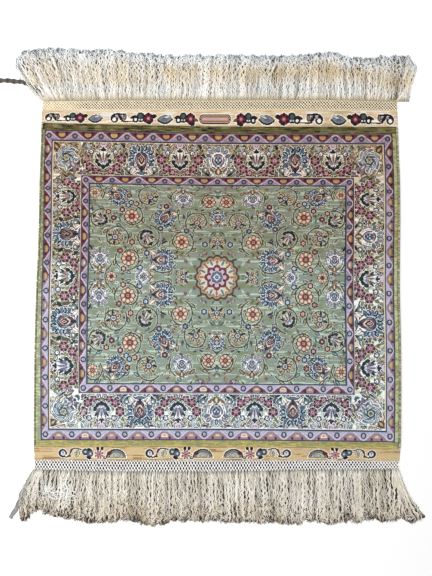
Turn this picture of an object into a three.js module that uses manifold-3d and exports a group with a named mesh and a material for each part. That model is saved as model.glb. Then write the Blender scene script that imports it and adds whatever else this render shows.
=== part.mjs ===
// Small silk pile rug, lying flat and face up.
// Millimetres, +Z up, +Y towards the top end of the pattern.
// The outline tables are laid out about the middle of the pile.
// The whole rug is then shifted so that its box is centred on the origin.

import * as THREE from 'three';
import { mergeVertices } from 'three/addons/utils/BufferGeometryUtils.js';
import Module from 'manifold-3d';

// Thicknesses and widths of the pieces
const PILE_THICKNESS = 2.6;
const FLATWEAVE_THICKNESS = 1.2;
const NET_THICKNESS = 1.0;
const FRINGE_THICKNESS = 2.0;
const SELVEDGE_THICKNESS = 2.4;
const SELVEDGE_WIDTH = 3.0;
const SELVEDGE_ROUNDING = 0.6;
const CLEARANCE = 0.3;

// The pile and a flat-woven band share one web, so the band's solid starts a little inside the pile
const BAND_TUCK = 1.0;

// Length of one straight step along a smooth edge line
const SIDE_STEP = 25;
const END_STEP = 36;

// Sides of the rug: how far the left and right edges stand from the middle line
const SIDE_TABLE = [
  { y: -295, left: -294.0, right: 299.6 },
  { y: -263, left: -296.6, right: 304.2 },
  { y: -200, left: -298.2, right: 305.8 },
  { y: -100, left: -299.8, right: 306.8 },
  { y: 0, left: -299.6, right: 305.8 },
  { y: 60, left: -298.4, right: 306.8 },
  { y: 120, left: -298.3, right: 308.0 },
  { y: 185, left: -298.9, right: 308.2 },
  { y: 225, left: -298.3, right: 306.8 },
  { y: 289, left: -298.2, right: 305.6 },
  { y: 330, left: -297.4, right: 304.4 },
];

// Ends of the rug: where the pile, the flat-woven band and the net stop, across the width
const TOP_TABLE = [
  { x: -310, pile: 279.2, band: 299.4, net: 318.0 },
  { x: -182, pile: 277.2, band: 301.5, net: 320.5 },
  { x: -2, pile: 275.0, band: 302.9, net: 322.0 },
  { x: 191, pile: 275.8, band: 304.4, net: 324.0 },
  { x: 315, pile: 276.8, band: 303.6, net: 321.8 },
];
const BOTTOM_TABLE = [
  { x: -310, pile: -264.0, band: -285.3, net: -299.6 },
  { x: -171, pile: -263.3, band: -285.5, net: -302.1 },
  { x: 2, pile: -261.7, band: -284.1, net: -301.1 },
  { x: 189, pile: -262.1, band: -282.4, net: -296.6 },
  { x: 315, pile: -263.3, band: -283.1, net: -294.8 },
];

// Net: the row of gaps next to the fringe, which are its largest
const NET_GAP_PITCH = 5.1;
const NET_GAP_WIDTH = 2.3;
const NET_GAP_LENGTH = 3.0;
const NET_GAP_INSET = 3.6;
const NET_GAP_UNEVEN = 0.4;
const NET_SIDE_MARGIN = 3.0;

// Fringe: a narrow heading and a comb of teeth, each row of the tables one lock.
// root is where the lock leaves the heading, and x and y are its tip.
const HEADING_DEPTH = 4.0;
const TEETH_PER_LOCK = 4;
const TOOTH_MIDDLE_SHARE = 0.8;
const TOOTH_TIP_SHARE = 0.62;
const CLEFT_UNEVEN = 1.2;
const TOOTH_SWAY_SHARE = 0.1;
const TOOTH_RAGGED = 2.4;
const TOP_LOCKS = [
  { root: -289, x: -343, y: 386 },
  { root: -280, x: -336, y: 404 },
  { root: -262, x: -291, y: 411 },
  { root: -225, x: -238, y: 404 },
  { root: -190, x: -198, y: 413 },
  { root: -140, x: -142, y: 409 },
  { root: -90, x: -84, y: 402 },
  { root: -38, x: -30, y: 399 },
  { root: 12, x: 18, y: 405 },
  { root: 70, x: 76, y: 404 },
  { root: 130, x: 138, y: 403 },
  { root: 190, x: 200, y: 414 },
  { root: 225, x: 234, y: 399 },
  { root: 258, x: 270, y: 410 },
  { root: 284, x: 306, y: 410 },
  { root: 300, x: 334, y: 390 },
];
const BOTTOM_LOCKS = [
  { root: -292, x: -330, y: -382 },
  { root: -284, x: -306, y: -392 },
  { root: -268, x: -272, y: -379 },
  { root: -238, x: -234, y: -385 },
  { root: -195, x: -200, y: -391 },
  { root: -145, x: -146, y: -388 },
  { root: -100, x: -102, y: -394 },
  { root: -50, x: -46, y: -385 },
  { root: 5, x: 8, y: -386 },
  { root: 65, x: 68, y: -388 },
  { root: 125, x: 126, y: -391 },
  { root: 185, x: 186, y: -390 },
  { root: 225, x: 224, y: -382 },
  { root: 258, x: 262, y: -380 },
  { root: 282, x: 300, y: -378 },
  { root: 295, x: 341, y: -374 },
];

// One stray lock leaves the top left corner and lies almost straight out to the side.
// half is half its width there.
const STRAY_ROUTE = [
  { x: -295.0, y: 323.6, half: 1.4 },
  { x: -310.0, y: 338.5, half: 2.0 },
  { x: -330.0, y: 349.5, half: 2.0 },
  { x: -350.0, y: 354.5, half: 2.4 },
  { x: -371.0, y: 360.0, half: 0.8 },
];

// Finish of each piece
const FINISHES = {
  pile: { color: 0xa98f86, roughness: 0.62 },
  selvedge: { color: 0x8d9a5c, roughness: 0.6 },
  net: { color: 0xe9e2d2, roughness: 0.7 },
  fringe: { color: 0xe3dccb, roughness: 0.68 },
};

const solids = await Module();
solids.setup();

// Smooth line through a table's points, as a function from one coordinate to the other
function smoothLine(table, along, across) {
  const knots = table.map((row) => new THREE.Vector2(row[along], row[across]));
  const points = new THREE.SplineCurve(knots).getPoints(knots.length * 12);
  return (place) => {
    const next = Math.max(1, points.findIndex((point) => point.x >= place));
    const before = points[next - 1];
    const after = points[next];
    const share = (place - before.x) / (after.x - before.x);
    return THREE.MathUtils.lerp(before.y, after.y, share);
  };
}

const sideLine = {
  left: smoothLine(SIDE_TABLE, 'y', 'left'),
  right: smoothLine(SIDE_TABLE, 'y', 'right'),
};
const endLines = [TOP_TABLE, BOTTOM_TABLE].map((table) => ({
  pile: smoothLine(table, 'x', 'pile'),
  band: smoothLine(table, 'x', 'band'),
  net: smoothLine(table, 'x', 'net'),
}));
const [topLine, bottomLine] = endLines;

// Evenly spaced numbers from one end to the other, both included, about a step apart
function spaced(from, to, step) {
  const count = Math.max(1, Math.round(Math.abs(to - from) / step));
  return Array.from({ length: count + 1 }, (unused, i) => from + ((to - from) * i) / count);
}

// Corner of the cloth where an end line meets a side line
function corner(side, endLine, inset) {
  const inward = side === 'left' ? inset : -inset;
  let y = endLine(0);
  let x = 0;
  for (let pass = 0; pass < 4; pass += 1) {
    x = sideLine[side](y) + inward;
    y = endLine(x);
  }
  return { x, y };
}

// Closed outline between two end lines and the two sides, drawn in from the sides by inset
function clothOutline(lowLine, highLine, inset) {
  const lowLeft = corner('left', lowLine, inset);
  const lowRight = corner('right', lowLine, inset);
  const highLeft = corner('left', highLine, inset);
  const highRight = corner('right', highLine, inset);
  const points = [];
  for (const x of spaced(lowLeft.x, lowRight.x, END_STEP)) {
    points.push(new THREE.Vector2(x, lowLine(x)));
  }
  for (const y of spaced(lowRight.y, highRight.y, SIDE_STEP).slice(1)) {
    points.push(new THREE.Vector2(sideLine.right(y) - inset, y));
  }
  for (const x of spaced(highRight.x, highLeft.x, END_STEP).slice(1)) {
    points.push(new THREE.Vector2(x, highLine(x)));
  }
  for (const y of spaced(highLeft.y, lowLeft.y, SIDE_STEP).slice(1, -1)) {
    points.push(new THREE.Vector2(sideLine.left(y) + inset, y));
  }
  return points;
}

// Flat solid of one outline or of several, standing on the surface
function slab(outlines, thickness) {
  const shapes = outlines.map((points) => new THREE.Shape(points));
  return new THREE.ExtrudeGeometry(shapes, { depth: thickness, bevelEnabled: false });
}

// The same geometry as a solid that can be joined to another
function toSolid(geometry) {
  const plain = geometry.clone();
  plain.deleteAttribute('normal');
  plain.deleteAttribute('uv');
  const merged = mergeVertices(plain, 1e-4);
  return new solids.Manifold(new solids.Mesh({
    numProp: 3,
    vertProperties: new Float32Array(merged.attributes.position.array),
    triVerts: new Uint32Array(merged.index.array),
  }));
}

function toGeometry(solid) {
  const mesh = solid.getMesh();
  const geometry = new THREE.BufferGeometry();
  geometry.setAttribute('position', new THREE.BufferAttribute(mesh.vertProperties, 3));
  geometry.setIndex(new THREE.BufferAttribute(mesh.triVerts, 1));
  geometry.computeVertexNormals();
  return geometry;
}

function piece(name, geometry, finish) {
  const material = new THREE.MeshStandardMaterial({ ...FINISHES[finish], metalness: 0 });
  const mesh = new THREE.Mesh(geometry, material);
  mesh.name = name;
  return mesh;
}

// Woven cloth: thick knotted pile, with a thin flat-woven band at each end, in one piece
function wovenCloth() {
  const sideInset = SELVEDGE_WIDTH + CLEARANCE;
  const pileOutline = clothOutline(bottomLine.pile, topLine.pile, sideInset);
  const pile = toSolid(slab([pileOutline], PILE_THICKNESS));
  const bands = endLines.map((line) => {
    const out = line === topLine ? 1 : -1;
    const tucked = (x) => line.pile(x) - out * BAND_TUCK;
    const [low, high] = out > 0 ? [tucked, line.band] : [line.band, tucked];
    return toSolid(slab([clothOutline(low, high, 0)], FLATWEAVE_THICKNESS));
  });
  return toGeometry(pile.add(bands[0]).add(bands[1]));
}

// Overcast edge: a rounded cord beside the pile, from band to band
function selvedge(side) {
  const inward = side === 'left' ? 1 : -1;
  const clear = BAND_TUCK + CLEARANCE + SELVEDGE_ROUNDING;
  const low = corner(side, bottomLine.pile, 0).y + clear;
  const high = corner(side, topLine.pile, 0).y - clear;
  const stations = spaced(low, high, SIDE_STEP);
  const outer = stations.map((y) => {
    return new THREE.Vector2(sideLine[side](y) + inward * SELVEDGE_ROUNDING, y);
  });
  const inner = stations.map((y) => {
    const width = SELVEDGE_WIDTH - SELVEDGE_ROUNDING;
    return new THREE.Vector2(sideLine[side](y) + inward * width, y);
  });
  const outline = outer.concat(inner.reverse());
  const geometry = new THREE.ExtrudeGeometry(new THREE.Shape(outline), {
    depth: SELVEDGE_THICKNESS - 2 * SELVEDGE_ROUNDING,
    bevelThickness: SELVEDGE_ROUNDING,
    bevelSize: SELVEDGE_ROUNDING,
    bevelSegments: 1,
  });
  geometry.translate(0, 0, SELVEDGE_ROUNDING);
  return geometry;
}

// Net: the knotted warps, with the one row of gaps that is largest
function net(line) {
  const out = line === topLine ? 1 : -1;
  const near = (x) => line.band(x) + out * CLEARANCE;
  const [low, high] = out > 0 ? [near, line.net] : [line.net, near];
  const from = corner('left', line.net, NET_SIDE_MARGIN).x;
  const to = corner('right', line.net, NET_SIDE_MARGIN).x;
  const gaps = spaced(from, to, NET_GAP_PITCH).map((x, i) => {
    const y = line.net(x) - out * NET_GAP_INSET + NET_GAP_UNEVEN * Math.sin(2.2 * i);
    return [
      new THREE.Vector2(x - NET_GAP_WIDTH / 2, y),
      new THREE.Vector2(x, y - NET_GAP_LENGTH / 2),
      new THREE.Vector2(x + NET_GAP_WIDTH / 2, y),
      new THREE.Vector2(x, y + NET_GAP_LENGTH / 2),
    ];
  });
  const strip = toSolid(slab([clothOutline(low, high, 0)], NET_THICKNESS));
  const cutters = slab(gaps, 3 * NET_THICKNESS).translate(0, 0, -NET_THICKNESS);
  return toGeometry(strip.subtract(toSolid(cutters)));
}

// Teeth of one comb: root and tip of each, worked out between the table's locks
function combTeeth(locks) {
  const teeth = [];
  for (let lock = 0; lock + 1 < locks.length; lock += 1) {
    for (let step = 0; step < TEETH_PER_LOCK; step += 1) {
      const share = step / TEETH_PER_LOCK;
      const here = locks[lock];
      const next = locks[lock + 1];
      const ragged = TOOTH_RAGGED * Math.sin(2.4 * teeth.length);
      teeth.push({
        root: THREE.MathUtils.lerp(here.root, next.root, share),
        x: THREE.MathUtils.lerp(here.x, next.x, share),
        y: THREE.MathUtils.lerp(here.y, next.y, share) + ragged,
      });
    }
  }
  teeth.push({ ...locks[locks.length - 1] });
  return teeth;
}

// Outline of a lock that follows a short route, from its left root round its tip
function lockOutline(route) {
  const leftSide = [];
  const rightSide = [];
  route.forEach((stop, i) => {
    const before = route[Math.max(0, i - 1)];
    const after = route[Math.min(route.length - 1, i + 1)];
    const across = new THREE.Vector2(before.y - after.y, after.x - before.x).normalize();
    leftSide.push(new THREE.Vector2(stop.x + across.x * stop.half, stop.y + across.y * stop.half));
    rightSide.unshift(new THREE.Vector2(stop.x - across.x * stop.half, stop.y - across.y * stop.half));
  });
  return leftSide.concat(rightSide);
}

// Distance across to the nearer neighbour in a row of points
function room(points, i) {
  const distances = [points[i - 1], points[i + 1]]
    .filter((other) => other)
    .map((other) => Math.abs(other.x - points[i].x));
  return Math.min(...distances);
}

// Fringe: heading against the net, then the comb of teeth, in one outline
function fringe(line, locks, strayRoute = []) {
  const out = line === topLine ? 1 : -1;
  const inner = (x) => line.net(x) + out * CLEARANCE;
  const rootLine = (x) => inner(x) + out * HEADING_DEPTH;
  const teeth = combTeeth(locks);
  const roots = teeth.map((tooth) => new THREE.Vector2(tooth.root, rootLine(tooth.root)));
  const middles = teeth.map((tooth, i) => {
    const sway = TOOTH_SWAY_SHARE * room(roots, i) * Math.sin(1.7 * i);
    return new THREE.Vector2((tooth.root + tooth.x) / 2 + sway, (roots[i].y + tooth.y) / 2);
  });
  const outline = lockOutline(strayRoute);
  teeth.forEach((tooth, i) => {
    const before = teeth[i - 1] ?? { root: 2 * tooth.root - teeth[1].root };
    const rootLeft = (before.root + tooth.root) / 2;
    const cleft = rootLine(rootLeft) + out * CLEFT_UNEVEN * Math.sin(2.9 * i);
    const tipHalf = (TOOTH_TIP_SHARE * room(teeth, i)) / 2;
    const middleHalf = (TOOTH_MIDDLE_SHARE * room(middles, i)) / 2;
    outline.push(new THREE.Vector2(rootLeft, cleft));
    outline.push(new THREE.Vector2(middles[i].x - middleHalf, middles[i].y));
    outline.push(new THREE.Vector2(tooth.x - tipHalf, tooth.y - out * tipHalf));
    outline.push(new THREE.Vector2(tooth.x + tipHalf, tooth.y));
    outline.push(new THREE.Vector2(middles[i].x + middleHalf, middles[i].y));
  });
  const right = corner('right', inner, 0);
  const left = corner('left', inner, 0);
  for (const x of spaced(right.x, left.x, END_STEP)) {
    outline.push(new THREE.Vector2(x, inner(x)));
  }
  return slab([outline], FRINGE_THICKNESS);
}

const rug = new THREE.Group();
rug.add(piece('woven_cloth', wovenCloth(), 'pile'));
rug.add(piece('selvedge_left', selvedge('left'), 'selvedge'));
rug.add(piece('selvedge_right', selvedge('right'), 'selvedge'));
rug.add(piece('net_top', net(topLine), 'net'));
rug.add(piece('net_bottom', net(bottomLine), 'net'));
rug.add(piece('fringe_top', fringe(topLine, TOP_LOCKS, STRAY_ROUTE), 'fringe'));
rug.add(piece('fringe_bottom', fringe(bottomLine, BOTTOM_LOCKS), 'fringe'));

// The origin is on the surface, under the middle of the whole rug
const middle = new THREE.Box3().setFromObject(rug).getCenter(new THREE.Vector3());
rug.position.set(-middle.x, -middle.y, 0);

export default rug;
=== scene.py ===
import math

import bpy
import numpy as np
from mathutils import Matrix, Vector
from mathutils.bvhtree import BVHTree


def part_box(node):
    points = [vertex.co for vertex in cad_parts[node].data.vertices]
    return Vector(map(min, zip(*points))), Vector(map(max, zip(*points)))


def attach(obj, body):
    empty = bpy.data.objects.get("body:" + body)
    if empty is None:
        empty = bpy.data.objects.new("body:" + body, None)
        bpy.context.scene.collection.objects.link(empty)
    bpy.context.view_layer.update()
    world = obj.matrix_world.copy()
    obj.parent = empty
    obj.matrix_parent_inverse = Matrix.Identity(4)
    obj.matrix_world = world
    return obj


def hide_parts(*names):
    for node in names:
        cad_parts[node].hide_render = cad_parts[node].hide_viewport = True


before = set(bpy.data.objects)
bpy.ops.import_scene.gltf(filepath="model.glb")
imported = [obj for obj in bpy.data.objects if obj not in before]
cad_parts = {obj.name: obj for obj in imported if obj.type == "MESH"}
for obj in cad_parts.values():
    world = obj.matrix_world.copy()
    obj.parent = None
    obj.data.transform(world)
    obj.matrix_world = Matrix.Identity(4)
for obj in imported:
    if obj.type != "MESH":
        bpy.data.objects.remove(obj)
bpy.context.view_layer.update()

bl_info = {
    "name": "Silk pile rug",
    "version": (1, 0, 0),
    "blender": (4, 5, 0),
    "location": "View3D > Sidebar > Silk rug",
    "description": "Builds a small hand-knotted silk rug with netted and fringed ends",
    "category": "Add Mesh",
}

MM = 0.001

# Place of the middle of the pile, from which the fringe's tables are measured
PILE_MIDDLE = Vector((13.51, -9.85, 0.0)) * MM

# Silks by name: red, green and blue out of 255
SILKS = {
    # Grounds of the field, the borders and the flat-woven ends
    "sage": (120, 122, 106), "cream": (190, 174, 148), "sand": (170, 154, 126), "pearl": (214, 209, 198),
    "wine": (96, 40, 48), "dusky": (134, 96, 106), "lilac": (149, 135, 147), "pale_lilac": (168, 158, 167),
    "straw": (200, 178, 138), "honey": (198, 174, 128),
    # Plain bands round the pile
    "dark_band": (84, 80, 38), "edge_green": (132, 128, 98), "moss": (136, 120, 66), "lime": (162, 164, 118),
    "mustard": (174, 148, 80),
    # Outlines, vines and dark details
    "white": (228, 220, 208), "blush": (190, 168, 176), "navy": (26, 25, 42), "bark": (28, 24, 22),
    "brown": (64, 43, 32), "umber": (98, 70, 48), "garnet": (48, 14, 26), "plum": (82, 54, 72),
    # Leaves and flowers
    "pale_sage": (166, 172, 150), "leaf": (112, 114, 78), "olive": (82, 76, 44), "tan": (152, 120, 88),
    "mauve": (115, 98, 111), "slate": (84, 94, 114), "blue": (60, 88, 106), "teal": (56, 84, 86),
    "ice": (178, 190, 196), "grey": (118, 118, 118), "rose": (150, 96, 108), "pink": (188, 148, 156),
    "crimson": (106, 26, 42), "terracotta": (156, 82, 62), "orange": (170, 120, 82), "gold": (176, 146, 104),
    "peach": (210, 176, 150), "apricot": (216, 164, 128),
}
NUMBER = {name: number for number, name in enumerate(SILKS)}

# Plain edge, outer guard, main border and inner guard on each side, in knots of one millimetre
BORDERS = {
    "left": (6.5, 14.0, 49.0, 14.5),
    "right": (5.5, 15.0, 52.0, 14.5),
    "top": (11.0, 19.0, 54.5, 15.5),
    "bottom": (11.5, 17.5, 57.0, 16.5),
}

# Rows of the pile's chart and the shares of its length that they lie at: some rows were beaten closer
ROW_PLACES = (
    (0.0, 0.0), (11.5, 0.0207), (29.0, 0.055), (86.0, 0.1604), (102.5, 0.1925), (128.4, 0.244),
    (199.3, 0.3797), (270.1, 0.519), (341.0, 0.6515), (411.9, 0.7694), (440.0, 0.8092), (455.5, 0.836),
    (510.0, 0.943), (529.0, 0.977), (540.0, 1.0),
)

# How far the pattern strays from the cloth's edges: at the bottom and top left, and along the right
STRAY = (3.0 * MM, -3.2 * MM, -1.8 * MM)

# How cool and light the silks are at shares of the way up: painted sheen that lightens and cools the pile
# towards the bottom, with a steep step where the weaver changed to other lots
PAINTED_SHEEN_AND_LOTS = ((0.0, 1.0), (0.3, 0.9), (0.56, 0.68), (0.6, 0.26), (0.8, 0.12), (1.0, 0.0))
# Painted sheen: how much lighter red, green and blue get where it is full
PAINTED_SHEEN_GAIN = (0.17, 0.33, 0.47)
# Painted reflection: bluish veil of light that is added where the sheen is full
PAINTED_SHEEN_VEIL = (0.014, 0.027, 0.031)

# Fringe locks in millimetres: where each leaves the net and its tip, and for those that don't hang straight
# how far they bow to the right and the power by which they turn aside
LOCKS = {
    "top": (
        (-294, -344, 383, 0, 0.6), (-292, -345, 392, 0, 0.7), (-289, -341, 400, 0, 0.8),
        (-284, -333, 408, 0, 0.9), (-276, -318, 410, 0, 1.0), (-263, -292, 413), (-246, -268, 415),
        (-225, -239, 411), (-190, -200, 413), (-140, -142, 408), (-90, -86, 403), (-38, -32, 403),
        (12, 16, 405), (70, 76, 402), (130, 136, 403), (190, 192, 411), (225, 222, 402),
        (258, 262, 402), (284, 292, 403), (293, 310, 407, 1), (299, 326, 402, 3),
        (303, 336, 390, 4, 0.9), (304, 338, 384, 5, 0.8),
    ),
    "bottom": (
        (-294, -316, -386, -7, 0.6), (-292, -313, -388, -6.5, 0.65), (-289.5, -309, -388, -6, 0.7),
        (-286, -303.5, -385, -5, 0.8), (-281, -297, -374, -4, 0.9), (-276, -289, -369, -2),
        (-268, -279, -375, -1), (-254, -262, -378), (-238, -244, -382), (-225, -229, -386),
        (-205, -210, -390), (-180, -182, -388), (-145, -146, -387), (-100, -102, -393),
        (-50, -46, -385), (5, 8, -386), (65, 68, -388), (125, 124, -388), (136, 137, -391),
        (147, 146, -382), (185, 186, -388), (193, 194, -391), (206, 206, -386), (223, 223, -380),
        (232, 232, -386), (252, 252, -380), (264, 264, -382), (272, 275, -384), (280, 288, -384, 1),
        (287, 301, -379, 2.4), (291, 312, -383, 4, 1.6), (294, 322, -386, 6, 2),
        (297, 333, -383, 8, 2.5), (300, 343, -374, 7, 2.5),
    ),
}


def linear(colour):
    """Scene colour of a display colour whose numbers run from 0 to 1."""
    shown = np.asarray(colour, float)
    return np.where(shown <= 0.04045, shown / 12.92, ((shown + 0.055) / 1.055) ** 2.4)


def colour_property(name, numbers):
    return bpy.props.FloatVectorProperty(
        name=name.replace("_", " ").capitalize(), description="Colour of this silk", min=0.0, max=1.0, size=3,
        default=tuple(number / 255 for number in numbers), subtype="COLOR_GAMMA",
    )


def number_property(name, description, default, **more):
    return bpy.props.FloatProperty(name=name, description=description, default=default, min=0.0, **more)


def length_property(name, description, millimetres):
    return number_property(name, description, millimetres * MM, subtype="DISTANCE", unit="LENGTH")


class RugSilks(bpy.types.PropertyGroup):
    """Colours of the dyed silks"""

    __annotations__ = {name: colour_property(name, numbers) for name, numbers in SILKS.items()}


class RugSizes(bpy.types.PropertyGroup):
    """Sizes that a weaver would choose"""

    pile_height: length_property("Pile height", "Height of the cut pile above the floor", 2.6)
    band_height: length_property("Flat weave height", "Height of the flat-woven ends", 1.2)
    net_pitch: length_property("Net pitch", "Distance between neighbouring knots of the net", 5.1)
    cord_width: length_property("Net cord width", "Width of the cords between the net's knots", 1.06)
    thread_width: length_property("Thread width", "Width of one fringe thread", 0.95)
    crinkle: length_property("Crinkle", "How far a fringe thread swings to either side", 0.5)
    crinkle_length: length_property("Crinkle length", "Length of one swing and back", 8.0)


class RugLooks(bpy.types.PropertyGroup):
    """How the silk takes the light"""

    abrash: number_property("Abrash", "Strength of the shade changes between dye lots", 0.05)
    knot_shade: number_property("Knot shade", "How much neighbouring knots differ", 0.07)
    pile_roughness: number_property("Pile roughness", "Roughness of the cut silk", 0.55, soft_max=1.0)
    thread_roughness: number_property("Thread roughness", "Roughness of the twisted silk", 0.5, soft_max=1.0)
    light: number_property("Light", "Strength of the studio light", 1.0)


def silk_rgb(name):
    """Scene colour of one of the silks, as set in the panel."""
    return linear(getattr(bpy.context.scene.rug_silks, name)[:])


def seeded(number, place):
    """Random numbers for one of a pair of places, each with its own seed."""
    return np.random.default_rng(number + int(place in ("bottom", "right")))


# Outline of the model


class Outline:
    """Edge lines of a CAD node, found by looking at it level from outside."""

    FAR = 1.0
    DEPTH = 14 * MM
    STEP = 2 * MM
    INSET = 1e-5
    TOWARDS = {"left": (1, 0), "right": (-1, 0), "top": (0, -1), "bottom": (0, 1)}

    def __init__(self, node):
        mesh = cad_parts[node].data
        points = [vertex.co.copy() for vertex in mesh.vertices]
        self.tree = BVHTree.FromPolygons(points, [tuple(face.vertices) for face in mesh.polygons])
        self.low, self.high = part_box(node)

    def line(self, side, height):
        """How far out the node reaches on that side, as a function of the place along it."""
        look = self.TOWARDS[side]
        along = 1 if look[0] else 0
        start, stop = self.low[along], self.high[along]
        count = max(3, int((stop - start) / self.STEP))
        places = []
        reaches = []
        for place in np.linspace(start + self.INSET, stop - self.INSET, count):
            origin = Vector((-look[0] * self.FAR, -look[1] * self.FAR, height))
            origin[along] = place
            hit = self.tree.ray_cast(origin, Vector((*look, 0)))[0]
            if hit is not None:
                places.append(place)
                reaches.append(hit[1 - along])
        out = -sum(look)
        reaches = np.array(reaches)
        near = reaches * out > (reaches * out).max() - self.DEPTH
        return lambda where: np.interp(where, np.array(places)[near], reaches[near])


class Region:
    """Four-sided area between two side lines and two end lines."""

    def __init__(self, left, right, low, high):
        self.left, self.right, self.low, self.high = left, right, low, high

    def place(self, across, along):
        """Place of each pair of shares, from the lower left corner."""
        x = np.zeros(np.broadcast(across, along).shape)
        for _ in range(5):
            y = self.low(x) + (self.high(x) - self.low(x)) * along
            x = self.left(y) + (self.right(y) - self.left(y)) * across
        return x, y

    def width(self, y):
        return float(self.right(y) - self.left(y))

    def length(self):
        return float(self.high(0) - self.low(0))


# Charts of knots


class Chart:
    """Knots of a woven cloth, one to a millimetre, each with the number of its silk."""

    def __init__(self, columns, rows, ground):
        self.cells = np.full((rows, columns), NUMBER[ground], np.uint8)
        self.x = np.arange(columns) + 0.5
        self.y = np.arange(rows) + 0.5

    def outlined(self, motif, *place, colour="white", width=0.7, **where):
        """Draws a motif with an outline round the whole of it."""
        pen = Pen(self, *place, **where)
        for halo in ((width, NUMBER[colour]), None):
            pen.halo = halo
            motif(pen)


def turned(x, y, degrees):
    """The same places on axes that are turned by that much."""
    angle = math.radians(degrees)
    return x * math.cos(angle) + y * math.sin(angle), y * math.cos(angle) - x * math.sin(angle)


def around(count, radius, start=0.0, x=0.0, y=0.0):
    """Places that are spread evenly round x, y, each with its direction in degrees."""
    for step in range(count):
        degrees = start + 360 * step / count
        angle = math.radians(degrees)
        yield x + radius * math.cos(angle), y + radius * math.sin(angle), degrees


class Pen:
    """Draws one motif in its own millimetres, with y towards the outer edge of the rug."""

    RIM = 0.8
    RIMMED = 1.9
    RIMLESS = ("bark", "navy", "garnet", "plum", "wine", "white", "pearl", "grey")

    def __init__(self, chart, x, y, turn=0.0, mirror=False, reach=48.0, size=1.0, tall=1.0):
        rows = slice(max(0, int(y - reach)), int(y + reach) + 1)
        columns = slice(max(0, int(x - reach)), int(x + reach) + 1)
        dx = (chart.x[columns][None, :] - x) / size
        dy = (chart.y[rows][:, None] - y) / (size * tall)
        self.x, self.y = turned(dx, dy, turn)
        if mirror:
            self.x = -self.x
        self.cells = chart.cells[rows, columns]
        self.halo = None

    def draw(self, *groups):
        """Draws groups of shapes, each with its kind, its silk and a row of numbers for each shape.

        Shapes of a kind that starts with "both" are drawn on the right and, mirrored, on the left."""
        for kind, silk, *rows in groups:
            shape = getattr(self, kind.removeprefix("both "))
            for row in rows:
                shape(*row, colour=silk)
                if kind.startswith("both "):
                    self.x = -self.x
                    shape(*row, colour=silk)
                    self.x = -self.x

    def paint(self, outside, colour):
        """Fills where outside, the distance from the shape, is under zero. Wide shapes get a dark edge."""
        if self.halo:
            self.cells[outside < self.halo[0]] = self.halo[1]
            return
        rim = 0.0
        if outside.min() < -self.RIMMED and colour not in self.RIMLESS:
            self.cells[outside < 0] = NUMBER["brown"]
            rim = -self.RIM
        self.cells[outside < rim] = NUMBER[colour]

    def local(self, x, y, turn):
        return turned(self.x - x, self.y - y, turn)

    def oval(self, x, y, half_length, half_width, turn=0.0, *, colour):
        along, across = self.local(x, y, turn)
        reach = np.hypot(along / half_length, across / half_width)
        self.paint((reach - 1) * min(half_length, half_width), colour)

    def disc(self, x, y, radius, colour):
        self.oval(x, y, radius, radius, colour=colour)

    def leaf(self, x, y, length, width, turn, bend=0.0, *, colour):
        """Pointed leaf round x, y. A bend moves its middle sideways by that much."""
        along, across = self.local(x, y, turn)
        share = 2 * along / length
        across = across - bend * (1 - share**2)
        self.paint(np.abs(across) - width / 2 * (1 - share**2), colour)

    def flower(self, x, y, radius, petals, depth=0.35, turn=90.0, *, colour):
        along, across = self.local(x, y, turn)
        angle = np.arctan2(across, along)
        edge = radius * (1 - depth + depth * np.abs(np.cos(petals * angle / 2)))
        self.paint(np.hypot(along, across) - edge, colour)

    def arc(self, x, y, radius, width, start, stop, colour):
        along, across = self.local(x, y, (start + stop) / 2)
        angle = np.degrees(np.arctan2(across, along))
        past = np.radians(np.abs(angle) - (stop - start) / 2) * radius
        ring = np.abs(np.hypot(along, across) - radius) - width / 2
        self.paint(np.maximum(ring, past), colour)

    def vine(self, width, *points, colour):
        """Stem through the points, rounded at each."""
        stem = np.full(self.x.shape, 1e3)
        path = rounded(points)
        for (x, y), (next_x, next_y) in zip(path, path[1:]):
            run, rise = next_x - x, next_y - y
            share = ((self.x - x) * run + (self.y - y) * rise) / max(run**2 + rise**2, 1e-9)
            share = np.clip(share, 0, 1)
            stem = np.minimum(stem, np.hypot(self.x - x - share * run, self.y - y - share * rise))
        self.paint(stem - width / 2, colour)

    def arch(self, x, y, half_length, height, colour):
        """Half oval that stands on a level line through x, y."""
        dx = self.x - x
        dy = self.y - y
        dome = (np.hypot(dx / half_length, dy / height) - 1) * min(half_length, height)
        self.paint(np.maximum(dome, -dy), colour)

    def beads(self, x, y, reach, count, radius, start=0.0, *, colour):
        """Discs all round x, y."""
        for bead_x, bead_y, _ in around(count, reach, start, x, y):
            self.disc(bead_x, bead_y, radius, colour)

    def wreath(self, x, y, reach, count, length, width, start=0.0, last=99, *, colour):
        """Leaves that point away from x, y on all sides, or only the first ones, with the silks by turns."""
        for step, (leaf_x, leaf_y, degrees) in enumerate(around(count, reach, start, x, y)):
            if step <= last:
                self.leaf(leaf_x, leaf_y, length, width, degrees, colour=colour[step % len(colour)])

    def petals(self, y, count, length, width, squareness, colour):
        """Petals round a palmette from its lower right over the top, every other one with a light vein."""
        for step in range(count):
            degrees = -28 + 236 * step / (count - 1)
            angle = math.radians(degrees)
            stretch = 1 + squareness * abs(math.sin(2 * angle))
            petal_x = 13.6 * stretch * math.cos(angle)
            petal_y = y + 13.6 * stretch * math.sin(angle)
            if not self.halo:
                self.leaf(petal_x, petal_y, length + 1.0, width + 0.9, degrees, colour="white")
            silk = colour[min(step, count - 1 - step) % len(colour)]
            self.leaf(petal_x, petal_y, length, width, degrees, colour=silk)
            if step % 2:
                self.leaf(petal_x * 1.04, petal_y * 1.04, length * 0.5, 1.0, degrees, colour="ice")

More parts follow.
